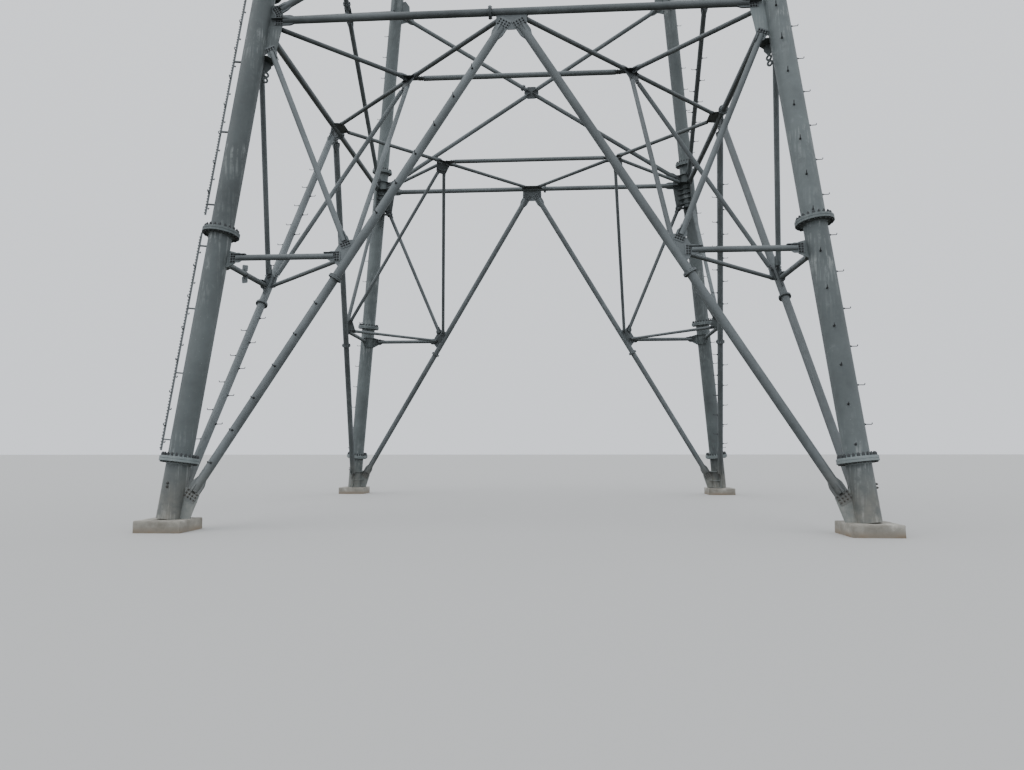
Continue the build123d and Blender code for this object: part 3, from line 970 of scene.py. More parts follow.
@dataclass(frozen=True)
class Tube:
    """A bracing tube between two working points.

    Attributes:
        start: working point where it starts
        end: working point where it ends
        bar: kind of tube
        normal: direction square to the gussets at its ends
        ends: which ends have plates
    """

    start: Vector
    end: Vector
    bar: Bar
    normal: Vector
    ends: tuple[bool, bool] = (True, True)

    def build(self, steel: Shape, fasteners: Shape, rng: random.Random) -> None:
        """Add the tube and its ends.

        Args:
            steel: piece that the tube belongs to
            fasteners: piece that the bolts belong to
            rng: source of small differences
        """
        steel.tone = rng.uniform(0.32, 0.72)
        bar, run = self.bar, self.end - self.start
        axis, radius, bevel = run.normalized(), bar.diameter / 2, 0.006
        length = run.length - sum(bar.cuts)
        profile = [(0.0, radius - bevel), (bevel, radius), (length - bevel, radius), (length, radius - bevel)]
        steel.turned(self.start + axis * bar.cuts[0], axis, profile, 36 if radius > 0.08 else 24)
        for k, (node, far) in enumerate(((self.start, self.end), (self.end, self.start))):
            if self.ends[k]:
                joint = Joint(node, far, bar.cuts[k], bar.diameter, self.normal, bar.style)
                joint.build(steel, fasteners, rng)

    def splice(self, steel: Shape, fasteners: Shape, distance: float, diameter: float, count: int) -> None:
        """Add a pair of bolted flanges.

        Args:
            steel: piece that the flanges belong to
            fasteners: piece that the bolts belong to
            distance: distance of the joint from the start
            diameter: diameter of the flanges
            count: number of bolts
        """
        axis = (self.end - self.start).normalized()
        centre = self.start + axis * distance
        outer, inner, thick, weld, bevel = diameter / 2, self.bar.diameter / 2, 0.03, 0.012, 0.004
        profile = [(0.001, outer - bevel), (0.005, outer), (thick - bevel, outer), (thick, outer - bevel),
                   (thick, inner + weld), (thick + weld, inner)]
        for sign in (1, -1):
            steel.turned(centre, axis * sign, profile, 36)
        side = axis.orthogonal().normalized()
        pitch = (diameter + self.bar.diameter) / 4 + 0.004
        for k in range(count):
            turn = Matrix.Rotation(math.tau * (k + 0.5) / count, 3, axis)
            fasteners.bolt(centre + turn @ side * pitch, axis, 2 * thick, 0.02, k)


@dataclass
class Pedestals:
    """Square concrete pedestals under the legs.

    Attributes:
        side: width of a pedestal
        top: its height
        edge: width of its cast edge
        levels: heights of the rings of points up its sides
        shares: sizes of the rings on its top, as shares of the top's width
        steps: points on a side of a ring
        eased: how far the middle of the cast edge is cut back
        grain: fineness and depth of the coarse and of the fine unevenness
    """

    side: float = 1.1
    top: float = 0.28
    edge: float = 0.025
    levels: tuple[float, ...] = (0.0, 0.07, 0.14, 0.2)
    shares: tuple[float, ...] = (0.8, 0.6, 0.4, 0.2, 0.02)
    steps: int = 40
    eased: float = 0.008
    grain: tuple[tuple[float, float], ...] = ((2.5, 0.010), (11.0, 0.004))

    def build(self, finishes: Finishes) -> None:
        """Build one pedestal at each corner.

        Args:
            finishes: finishes of the tower
        """
        half = self.side / 2
        rings = [(level, half) for level in self.levels]
        rings += [(self.top - self.edge, half), (self.top - self.eased, half - self.eased),
                  (self.top, half - self.edge)]
        rings += [(self.top, (half - self.edge) * share) for share in self.shares]
        for corner in Corner:
            name = corner.name.lower()
            shape = Shape(f"pedestal_{name}_cast")
            base = TOWER.leg_point(corner, self.top)
            for level, reach in rings:
                self.ring(shape, Vector((base.x, base.y, 0.0)), level, reach)
            shape.cover(0, 4 * self.steps, [0.0] * len(rings))
            del shape.faces[-2]
            shape.make(finishes.concrete, "concrete", [f"pedestal_{name}"])

    def ring(self, shape: Shape, middle: Vector, level: float, half: float) -> None:
        """Add one square ring of slightly uneven points.

        Args:
            shape: piece that the ring belongs to
            middle: middle of the pedestal on the ground
            level: height of the ring
            half: half the width of the ring
        """
        for k in range(4 * self.steps):
            side, part = divmod(k, self.steps)
            along, out = TOWER.along(side), TOWER.outward(side)
            flat = out * half + along * half * (2 * part / self.steps - 1)
            point = middle + flat + UP * level
            rough = sum(abs(noise(point * fine)) * depth for fine, depth in self.grain)
            if level > 0.01:
                drop = rough if level >= self.top - 0.001 else 0.0
                point = point - flat.normalized() * rough - UP * drop
            shape.points.append(point)


@dataclass
class Leg:
    """One leg, of four flanged lengths: foot, lower, middle and upper.

    Attributes:
        corner: corner that it stands at
        finishes: finishes of the tower
        rng: source of small differences
        bottom: level where the tube starts
        joints: levels of the flange joints, from the foot up
        diameters: diameter of each length
        flanges: diameter of the flanges at each joint
        counts: bolts at each joint
        wall: thickness of the tube's wall
        bore: how deep the open top is
        thick: thickness of one flange
        bevel: width of a flange's worn edges
        weld: width of the weld at a flange
        bead: radius of the weld beads beside a gusset
        edge: distance from the bolt circle to the flange's edge
        hole: diameter of a bolt hole
        bolt: diameter of a flange bolt
        nuts: height of its two nuts in diameters
        run_lengths: lengths over which the run marks fade below a drip and above a joint
        drips: levels of the nodes in each length, which water drips from as it does from the joints
        earth_levels: levels of the two earthing bolts on the foot
        earth_bolt: diameter of an earthing bolt
        earth_angle: how far clockwise round the leg from its face's direction they stand, in degrees
        rib: thickness of a rib
        foot_gusset: lower and upper level of a foot gusset and of its weld, measured from the node
        foot_reach: reach of its lower edge
        knee_gusset: the same for the knee node
        node_gusset: the same for the diaphragm node
        top_gusset: the same for the top node
        foot_ribs: height, reach from the leg's axis and rounded form of each rib of a foot
        knee_ribs: the same for the knee node, with heights from the node
        node_ribs: the same for the diaphragm node
        lug_rib: the same for the rib that the lug hangs from
        lug_outline: height and reach of the corners of the lug
        lug_thick: thickness of the lug
        eyes: heights of the lug's two eyes
        eye_reach: their reach
        plan_reach: reach of the level plate at the diaphragm
        tones: how light each leg is in its lower and upper lengths
        gusset_tones: how light the diaphragm gussets of each leg are
    """

    corner: Corner
    finishes: Finishes
    rng: random.Random
    bottom: float = 0.27
    joints: tuple[float, ...] = (1.65, 7.3, 14.08, 22.0)
    diameters: tuple[float, ...] = (0.56, 0.56, 0.56, 0.53)
    flanges: tuple[float, ...] = (0.9, 0.9, 0.86, 0.86)
    counts: tuple[int, ...] = (24, 20, 20, 20)
    wall: float = 0.014
    bore: float = 2.5
    thick: float = 0.06
    bevel: float = 0.006
    weld: float = 0.018
    bead: float = 0.009
    edge: float = 0.06
    hole: float = 0.042
    bolt: float = 0.037
    nuts: float = 1.7
    run_lengths: tuple[float, float] = (0.55, 0.4)
    drips: tuple[tuple[float, ...], ...] = ((), (6.4,), (12.7, 9.5), (20.6,))
    earth_levels: tuple[float, float] = (1.04, 1.12)
    earth_bolt: float = 0.03
    earth_angle: float = 97.0
    rib: float = 0.016
    foot_gusset: GussetLevels = (0.33, 1.09, 0.34, 1.08)
    foot_reach: float = 0.5
    knee_gusset: GussetLevels = (-0.235, 0.225, -0.23, 0.22)
    node_gusset: GussetLevels = (-0.82, 0.48, -0.81, 0.47)
    top_gusset: GussetLevels = (-0.48, 0.48, -0.47, 0.47)
    foot_ribs: Ribs = ((0.35, 0.45, False), (0.64, 0.45, False), (1.02, 0.38, True))
    knee_ribs: Ribs = ((-0.19, 0.35, True), (0.19, 0.35, True))
    node_ribs: Ribs = ((-0.78, 0.45, False), (-0.57, 0.5, False), (-0.365, 0.5, False),
                       (-0.16, 0.5, False), (0.44, 0.37, True))
    lug_rib: Ribs = ((-0.98, 0.56, True),)
    lug_outline: tuple[tuple[float, float], ...] = ((-0.97, 0.27), (-0.97, 0.5), (-1.13, 0.5), (-1.27, 0.42),
                                                    (-1.3, 0.36), (-1.18, 0.27))
    lug_thick: float = 0.024
    eyes: tuple[float, float] = (-1.35, -1.5)
    eye_reach: float = 0.4
    plan_reach: float = 0.42
    tones: tuple[tuple[float, float], ...] = ((0.12, 0.08), (0.2, 0.42), (0.14, 0.12), (0.42, 0.36))
    gusset_tones: tuple[float, ...] = (0.04, 0.75, 0.06, 0.1)

    def __post_init__(self) -> None:
        """Work out the leg's name and directions and start the piece that holds its bolts."""
        self.name = self.corner.name.lower()
        self.axis = TOWER.leg_axis(self.corner)
        self.across = TOWER.square_to_leg(self.corner, TOWER.along(self.corner))
        self.bolts = Shape(f"leg_bolts_{self.name}")

    def build(self) -> None:
        """Build the four lengths with their gussets, ribs and bolts."""
        self.foot()
        self.lower()
        self.middle()
        self.upper()
        self.bolts.make(self.finishes.fasteners, "leg_steel")

    def point(self, level: float) -> Vector:
        """Point on the leg's axis."""
        return TOWER.leg_point(self.corner, level)

    def side_point(self, side: int, level: float, reach: float) -> Vector:
        """Point beside the leg's axis, towards the other leg of one of its faces."""
        way = TOWER.along(TOWER.face_of(self.corner, side)) * (1 - 2 * side)
        return self.point(level) + TOWER.square_to_leg(self.corner, way) * reach

    def angle_points(self, level: float, reach: float) -> list[Vector]:
        """Corners of the angle between the leg's two gussets, at the wall and at a reach."""
        return [self.side_point(side, level, distance)
                for side in (0, 1) for distance in ((self.diameters[0] - self.wall) / 2, reach)]

    def sides(self) -> list[tuple[int, int, Vector]]:
        """The leg's two sides, each with its face and the direction square to that face."""
        faces = [TOWER.face_of(self.corner, side) for side in (0, 1)]
        return [(side, face, TOWER.face_normal(face)) for side, face in enumerate(faces)]

    def length(self, number: int, node: str) -> Shape:
        """Start a length of the leg with its tube and its closed flanges.

        Args:
            number: number of the length, from the foot up
            node: name of the length without the corner's

        Returns:
            The piece.
        """
        shape = Shape(f"{node}_{self.name}_welded")
        self.tube(shape, number)
        if number > 0:
            self.disc(shape, number, number - 1, 1)
        if number < 3:
            self.disc(shape, number, number, -1)
        return shape

    def tube(self, shape: Shape, number: int) -> None:
        """Add a length of tube with run marks under what water drips from. The top one is open.

        Args:
            shape: piece that the tube belongs to
            number: number of the length, from the foot up
        """
        bottom, top = (self.bottom, *self.joints)[number:number + 2]
        radius, hollow = self.diameters[number] / 2, number == 3
        drips = [top - self.thick if hollow else top, *self.drips[number]]
        shape.tone = self.tones[self.corner][bottom > TOWER.knee_z] + self.rng.uniform(-0.04, 0.04)
        origin = self.point(bottom)
        length = (self.point(top) - origin).length
        steps = max(int(length / 0.2), 2)
        profile = [(length * k / steps, radius) for k in range(steps + 1)]
        below, over = self.run_lengths
        runs = []
        for k in range(steps + 1):
            level = bottom + (top - bottom) * k / steps
            marks = [math.exp((level - drip) / below) for drip in drips if drip >= level - 0.01]
            runs.append(max(marks + [0.9 * math.exp((bottom - level) / over)]))
        if hollow:
            profile += [(length, radius - self.wall), (length - self.bore, radius - self.wall)]
            runs += [0.2, 0.0]
        shape.turned(origin, self.axis, profile, 56, runs)

    def disc(self, shape: Shape, number: int, joint: int, sign: int) -> None:
        """Add one flange with its weld. The joint above the foot is paler than the others.

        Args:
            shape: piece that the flange belongs to
            number: number of the length that carries it
            joint: number of the joint, from the foot up
            sign: 1 for the flange above the joint, -1 for the one below
        """
        radius, root = self.flanges[joint] / 2, self.diameters[number] / 2
        thick, bevel, weld = self.thick, self.bevel, self.weld
        profile = [(0.001, radius - 0.005), (bevel, radius), (thick - bevel, radius), (thick, radius - bevel),
                   (thick, root + weld), (thick + weld, root + 0.003), (thick + 0.05, root)]
        shape.tone = self.rng.uniform(0.3, 0.5) + (0.0 if joint else 0.5)
        shape.turned(self.point(self.joints[joint]), self.axis * sign, profile, 56, [0.3] * len(profile))

    def joint_bolts(self, joint: int) -> None:
        """Add the bolts of a flange joint.

        Args:
            joint: number of the joint, from the foot up
        """
        count, centre = self.counts[joint], self.point(self.joints[joint])
        for k in range(count):
            spin = Matrix.Rotation(math.tau * k / count, 3, self.axis)
            point = centre + spin @ self.across * (self.flanges[joint] / 2 - self.edge)
            turn = self.rng.uniform(0.0, 1.0)
            self.bolts.bolt(point, self.axis, 2 * self.thick, self.bolt, turn, self.nuts)

    def gusset(self, shape: Shape, number: int, side: int, base: float, levels: GussetLevels,
               corners: list[Vector], run: float = 0.3, clip: float = 0.0) -> None:
        """Add a gusset and the weld beads on both its sides where it meets the leg.

        Args:
            shape: piece that it belongs to
            number: number of the length that it is welded to
            side: which of the leg's two faces it lies in
            base: level of the node, which the gusset's own levels are measured from
            levels: lower and upper level of the gusset, and of its weld
            corners: its corners away from the leg
            run: strength of the run marks
            clip: how far each corner is cut off
        """
        low, high, weld_low, weld_high = levels
        radius, normal = self.diameters[number] / 2, TOWER.face_normal(TOWER.face_of(self.corner, side))
        wall = [self.side_point(side, base + level, radius - self.wall / 2) for level in (low, high)]
        shape.plate(self.point(base), normal, wall + corners, GUSSET, clip=clip, run=run)
        start, end = base + weld_low, base + weld_high
        for sign in (1, -1):
            path = [self.side_point(side, start + (end - start) * k / 10, radius - 0.001)
                    + normal * (0.012 + self.rng.uniform(0.0, 0.003)) * sign for k in range(11)]
            shape.rod(path, self.bead, 6)

    def ribs(self, shape: Shape, base: float, ribs: Ribs) -> None:
        """Add the level ribs between the leg's two gussets.

        Args:
            shape: piece that they belong to
            base: level that their own heights are measured from
            ribs: height, reach and rounded form of each
        """
        for height, reach, rounded in ribs:
            middle = self.point(base + height)
            corners = self.angle_points(base + height, reach)
            if rounded:
                one, other = corners[1] - middle, corners[3] - middle
                for k in range(1, 12):
                    turn = math.radians(7.5 * k)
                    corners.append(middle + one * math.cos(turn) + other * math.sin(turn))
            shape.plate(middle, self.axis, corners, self.rib, clip=0.0 if rounded else 0.03,
                        edge=FINE_EDGE, run=0.3)

    def lug(self, shape: Shape) -> None:
        """Add the rounded rib below the diaphragm gussets, and the lug with two eyes that hangs from it.

        Args:
            shape: piece that they belong to
        """
        level = TOWER.diaphragm_z
        shape.tone = 0.0
        self.ribs(shape, level, self.lug_rib)
        inner = TOWER.square_to_leg(self.corner, TOWER.inward(self.corner))
        normal = self.axis.cross(inner)
        corners = [self.point(level + height) + inner * reach for height, reach in self.lug_outline]
        shape.plate(corners[0], normal, corners, self.lug_thick, edge=FINE_EDGE)
        eye = [(-0.016, 0.036), (-0.016, 0.08), (-0.012, 0.084),
               (0.012, 0.084), (0.016, 0.08), (0.016, 0.036)]
        for height in self.eyes:
            centre = self.point(level + height) + inner * self.eye_reach
            shape.turned(centre, normal, eye, 20, loop=True)

    def foot(self) -> None:
        """Build the foot: the stub, its gussets and ribs, its flange and the earthing bolts."""
        shape = self.length(0, "foot")
        self.ribs(shape, 0.0, self.foot_ribs)
        level = TOWER.diagonal_foot_z
        for side, face, normal in self.sides():
            corners = Bar.DIAGONAL.lap(self.point(level), TOWER.span_middle(face), normal)
            corners.append(self.side_point(side, level + self.foot_gusset[0], self.foot_reach))
            shape.tone = 0.7
            self.gusset(shape, 0, side, level, self.foot_gusset, corners, 0.5, 0.02)
        shape.make(self.finishes.legs, "leg_steel", [f"foot_{self.name}"])
        angle = math.radians(90 * self.corner - self.earth_angle)
        out = Vector((math.cos(angle), math.sin(angle), 0.0))
        for level in self.earth_levels:
            self.bolts.bolt(self.point(level) + out * self.diameters[0] / 2, out, 0.02, self.earth_bolt)
        self.joint_bolts(0)

    def lower(self) -> None:
        """Build the lower length, with the gussets of the short horizontals."""
        shape = self.length(1, "lower_leg")
        level = TOWER.knee_z
        for side, _, normal in self.sides():
            corners = Bar.LOW_STRUT.lap(self.point(level), TOWER.knee_point(self.corner, side), normal)
            self.gusset(shape, 1, side, level, self.knee_gusset, corners, 0.4)
        self.ribs(shape, level, self.knee_ribs)
        shape.make(self.finishes.legs, "leg_steel", [f"lower_leg_{self.name}"])
        self.joint_bolts(1)

    def middle(self) -> None:
        """Build the middle length through the diaphragm level."""
        shape = self.length(2, "middle_leg")
        level = TOWER.diaphragm_z
        self.ribs(shape, level, self.node_ribs)
        node = self.point(level)
        for side, _, normal in self.sides():
            far_leg = TOWER.beside(self.corner, side)
            corners = Bar.HORIZONTAL.lap(node, TOWER.leg_point(far_leg, level), normal)
            corners += Bar.HIGH_STRUT.lap(node, TOWER.knee_point(self.corner, side), normal)
            corners += Bar.CROSSED.lap(node, TOWER.leg_point(far_leg, TOWER.cross_top_z), normal, 1)
            shape.tone = self.gusset_tones[self.corner]
            self.gusset(shape, 2, side, level, self.node_gusset, corners)
        corners = self.angle_points(level, self.plan_reach)
        corners += Bar.HUB_TO_LEG.lap(node, TOWER.hub_point(self.corner), UP, 1)
        shape.plate(node, UP, corners, GUSSET)
        self.lug(shape)
        shape.make(self.finishes.legs, "leg_steel", [f"middle_leg_{self.name}"])
        self.joint_bolts(2)

    def upper(self) -> None:
        """Build the top length with its open, drilled flange."""
        shape = self.length(3, "upper_leg")
        level = TOWER.cross_top_z
        for side, _, normal in self.sides():
            corners: list[Vector] = []
            for height in (TOWER.diaphragm_z, 2 * level - TOWER.diaphragm_z):
                far = TOWER.leg_point(TOWER.beside(self.corner, side), height)
                corners += Bar.CROSSED.lap(self.point(level), far, normal, 1)
            self.gusset(shape, 3, side, level, self.top_gusset, corners)
        self.drilled_flange(shape)
        shape.make(self.finishes.legs, "leg_steel", [f"upper_leg_{self.name}"])

    def drilled_flange(self, shape: Shape) -> None:
        """Add the open flange at the top, drilled for the next length's bolts.

        Args:
            shape: piece that it belongs to
        """
        other, centre = self.axis.cross(self.across), self.point(self.joints[3])
        outer, inner = self.flanges[3] / 2, self.diameters[3] / 2 - self.wall
        pitch, hole = outer - self.edge, self.hole / 2
        arc, parts = math.tau / self.counts[3], 16
        shape.tone = 0.7
        for k in range(self.counts[3]):
            middle = Vector((math.cos(arc * k), math.sin(arc * k))) * pitch
            spots: list[Vector] = []
            for n in range(parts):
                angle = math.tau * n / parts
                way = Vector((math.cos(angle), math.sin(angle)))
                spots += [middle + way * hole, self.sector_edge(middle, way, arc * k, arc, inner, outer)]
            start, low = len(shape.points), 2 * parts
            for depth in (0.0, -self.thick):
                shape.points += [centre + self.across * spot.x + other * spot.y + self.axis * depth
                                 for spot in spots]
            for n in range(parts):
                m = (n + 1) % parts
                a, b, c, d = start + 2 * n, start + 2 * m, start + 2 * m + 1, start + 2 * n + 1
                shape.faces += [(a, d, c, b), (a + low, b + low, c + low, d + low), (a, b, b + low, a + low)]
            shape.tones += [shape.tone] * (4 * parts)
            shape.runs += [0.2] * (4 * parts)
        rim = [(-self.thick, outer - 0.0005), (-self.thick + 0.004, outer), (-0.004, outer),
               (0.0, outer - 0.0005)]
        shape.turned(centre, self.axis, rim, 100)
        del shape.faces[-2:]

    @staticmethod
    def sector_edge(middle: Vector, way: Vector, turn: float, arc: float, inner: float,
                    outer: float) -> Vector:
        """Where a line from a bolt hole leaves the hole's own part of the flange.

        Args:
            middle: middle of the hole
            way: direction of the line
            turn: angle of the hole round the flange
            arc: angle between two holes
            inner: radius of the bore
            outer: radius of the flange

        Returns:
            The point on the edge of that part.
        """
        low, high = 0.0, 2 * outer
        for _ in range(36):
            reach = (low + high) / 2
            spot = middle + way * reach
            swing = (math.atan2(spot.y, spot.x) - turn + math.pi) % math.tau - math.pi
            inside = inner < spot.length < outer and abs(swing) < arc / 2
            low, high = (reach, high) if inside else (low, reach)
        return middle + way * low


@dataclass
class Legs:
    """The four legs.

    Attributes:
        seed: seed of their small differences
    """

    seed: int = 11

    def build(self, finishes: Finishes) -> None:
        """Build each leg.

        Args:
            finishes: finishes of the tower
        """
        rng = random.Random(self.seed)
        for corner in Corner:
            Leg(corner, finishes, rng).build()


@dataclass
class FaceFrame:
    """Diagonals, horizontal and crossed tubes of one face.

    Attributes:
        face: the face
        finishes: finishes of the tower
        rng: source of small differences
        splice: diameter of the flanges on the heavy tubes, and their number of bolts
        cross_splice: the same on a crossed tube
        splice_places: distances of the flanges from the knee, the span's middle and the crossing
        knee_plate: how far a knee gusset runs down and up the diagonal
        span_plates: half the length of the upright and the level plate at the span's middle
        centre_plate: how far the gusset runs along a crossed tube, and how much wider it is
        centre_stiffener: how far the stiffeners run over it
    """

    face: Face
    finishes: Finishes
    rng: random.Random
    splice: tuple[float, int] = (0.34, 10)
    cross_splice: tuple[float, int] = (0.27, 8)
    splice_places: tuple[float, float, float] = (0.66, 0.56, 0.42)
    knee_plate: tuple[float, float] = (-0.42, 0.5)
    span_plates: tuple[float, float] = (0.39, 0.45)
    centre_plate: tuple[float, float] = (0.29, 0.07)
    centre_stiffener: float = 0.19

    def __post_init__(self) -> None:
        """Work out the face's name, direction and corners and start the piece that holds its bolts."""
        self.name = self.face.name.lower()
        self.normal = TOWER.face_normal(self.face)
        self.corners = (self.face, (self.face + 1) % 4)
        self.bolts = Shape(f"{self.name}_face_bolts")

    def build(self) -> None:
        """Build the face's bracing."""
        self.diagonals()
        self.level_tube()
        self.crossed()
        self.bolts.make(self.finishes.fasteners, "brace_steel")

    def diagonals(self) -> None:
        """Build the two main diagonals and the gussets halfway up."""
        shape = Shape(f"{self.name}_diagonals_welded")
        end = TOWER.span_middle(self.face)
        for side, corner in enumerate(self.corners):
            start, knee = TOWER.diagonal_foot(corner), TOWER.knee_point(corner, side)
            axis = (end - start).normalized()
            tube = Tube(start, end, Bar.DIAGONAL, self.normal)
            tube.build(shape, self.bolts, self.rng)
            tube.splice(shape, self.bolts, (knee - start).length - self.splice_places[0], *self.splice)
            corners = [knee + axis * reach for reach in self.knee_plate]
            for level, bar in ((TOWER.knee_z, Bar.LOW_STRUT), (TOWER.diaphragm_z, Bar.HIGH_STRUT)):
                corners += bar.lap(knee, TOWER.leg_point(corner, level), self.normal, 1)
            shape.plate(knee, self.normal, corners, GUSSET)
            hub, fin = TOWER.hub_point(corner), TOWER.hip_normal(corner)
            corners = tongue(knee, hub, 0.0, Bar.LOW_STRUT.diameter, fin) + Bar.HIP.lap(knee, hub, fin, 1)
            corners += Bar.KNEE_TIE.lap(knee, TOWER.knee_point(corner, 1 - side), fin)
            shape.plate(knee, fin, corners, GUSSET)
        shape.make(self.finishes.braces, "brace_steel", [f"{self.name}_diagonals"])

    def level_tube(self) -> None:
        """Build the horizontal with the two plates at the middle of its span."""
        shape = Shape(f"{self.name}_horizontal_welded")
        along, middle = TOWER.along(self.face), TOWER.span_middle(self.face)
        start, end = (TOWER.leg_point(corner, TOWER.diaphragm_z) for corner in self.corners)
        tube = Tube(start, end, Bar.HORIZONTAL, self.normal)
        tube.build(shape, self.bolts, self.rng)
        tube.splice(shape, self.bolts, (middle - start).length - self.splice_places[1], *self.splice)
        upright, level = ([middle + along * half, middle - along * half] for half in self.span_plates)
        for corner in self.corners:
            upright += Bar.DIAGONAL.lap(middle, TOWER.diagonal_foot(corner), self.normal, 1)
            level += Bar.HUB_TO_SPAN.lap(middle, TOWER.hub_point(corner), UP, 1)
        shape.plate(middle, self.normal, upright, GUSSET, clip=0.03)
        shape.plate(middle, UP, level, GUSSET, clip=0.05)
        shape.make(self.finishes.braces, "brace_steel", [f"{self.name}_horizontal"])

    def crossed(self) -> None:
        """Build the crossed tubes of the second bay, with the gusset where they meet darkened as painted
        shade.
        """
        shape = Shape(f"{self.name}_cross_welded")
        bar, centre = Bar.CROSSED, TOWER.cross_centre(self.face)
        reach, margin = self.centre_plate
        style = EndStyle(cross=self.centre_stiffener)
        left, right = self.corners
        corners: list[Vector] = []
        for corner, level in ((left, TOWER.diaphragm_z), (right, TOWER.diaphragm_z),
                              (right, TOWER.cross_top_z), (left, TOWER.cross_top_z)):
            end = TOWER.leg_point(corner, level)
            tube = Tube(centre, end, bar, self.normal, (False, True))
            tube.build(shape, self.bolts, self.rng)
            corners += tongue(centre, end, reach, bar.diameter + margin, self.normal)
            if (corner, level) == (right, TOWER.cross_top_z):
                tube.splice(shape, self.bolts, self.splice_places[2], *self.cross_splice)
            Joint(centre, end, bar.cuts[0], bar.diameter, self.normal, style).stiffeners(shape)
        # The gusset where the tubes meet gets the darkest tone: painted shade of the shadow that falls on it.
        shape.tone = 0.0
        shape.plate(centre, self.normal, corners, GUSSET, clip=0.02)
        shape.make(self.finishes.braces, "brace_steel", [f"{self.name}_cross_brace"])


@dataclass
class FaceBracing:
    """Bracing of the four faces.

    Attributes:
        seed: seed of its small differences
    """

    seed: int = 23

    def build(self, finishes: Finishes) -> None:
        """Build the bracing of each face.

        Args:
            finishes: finishes of the tower
        """
        rng = random.Random(self.seed)
        for face in Face:
            FaceFrame(face, finishes, rng).build()


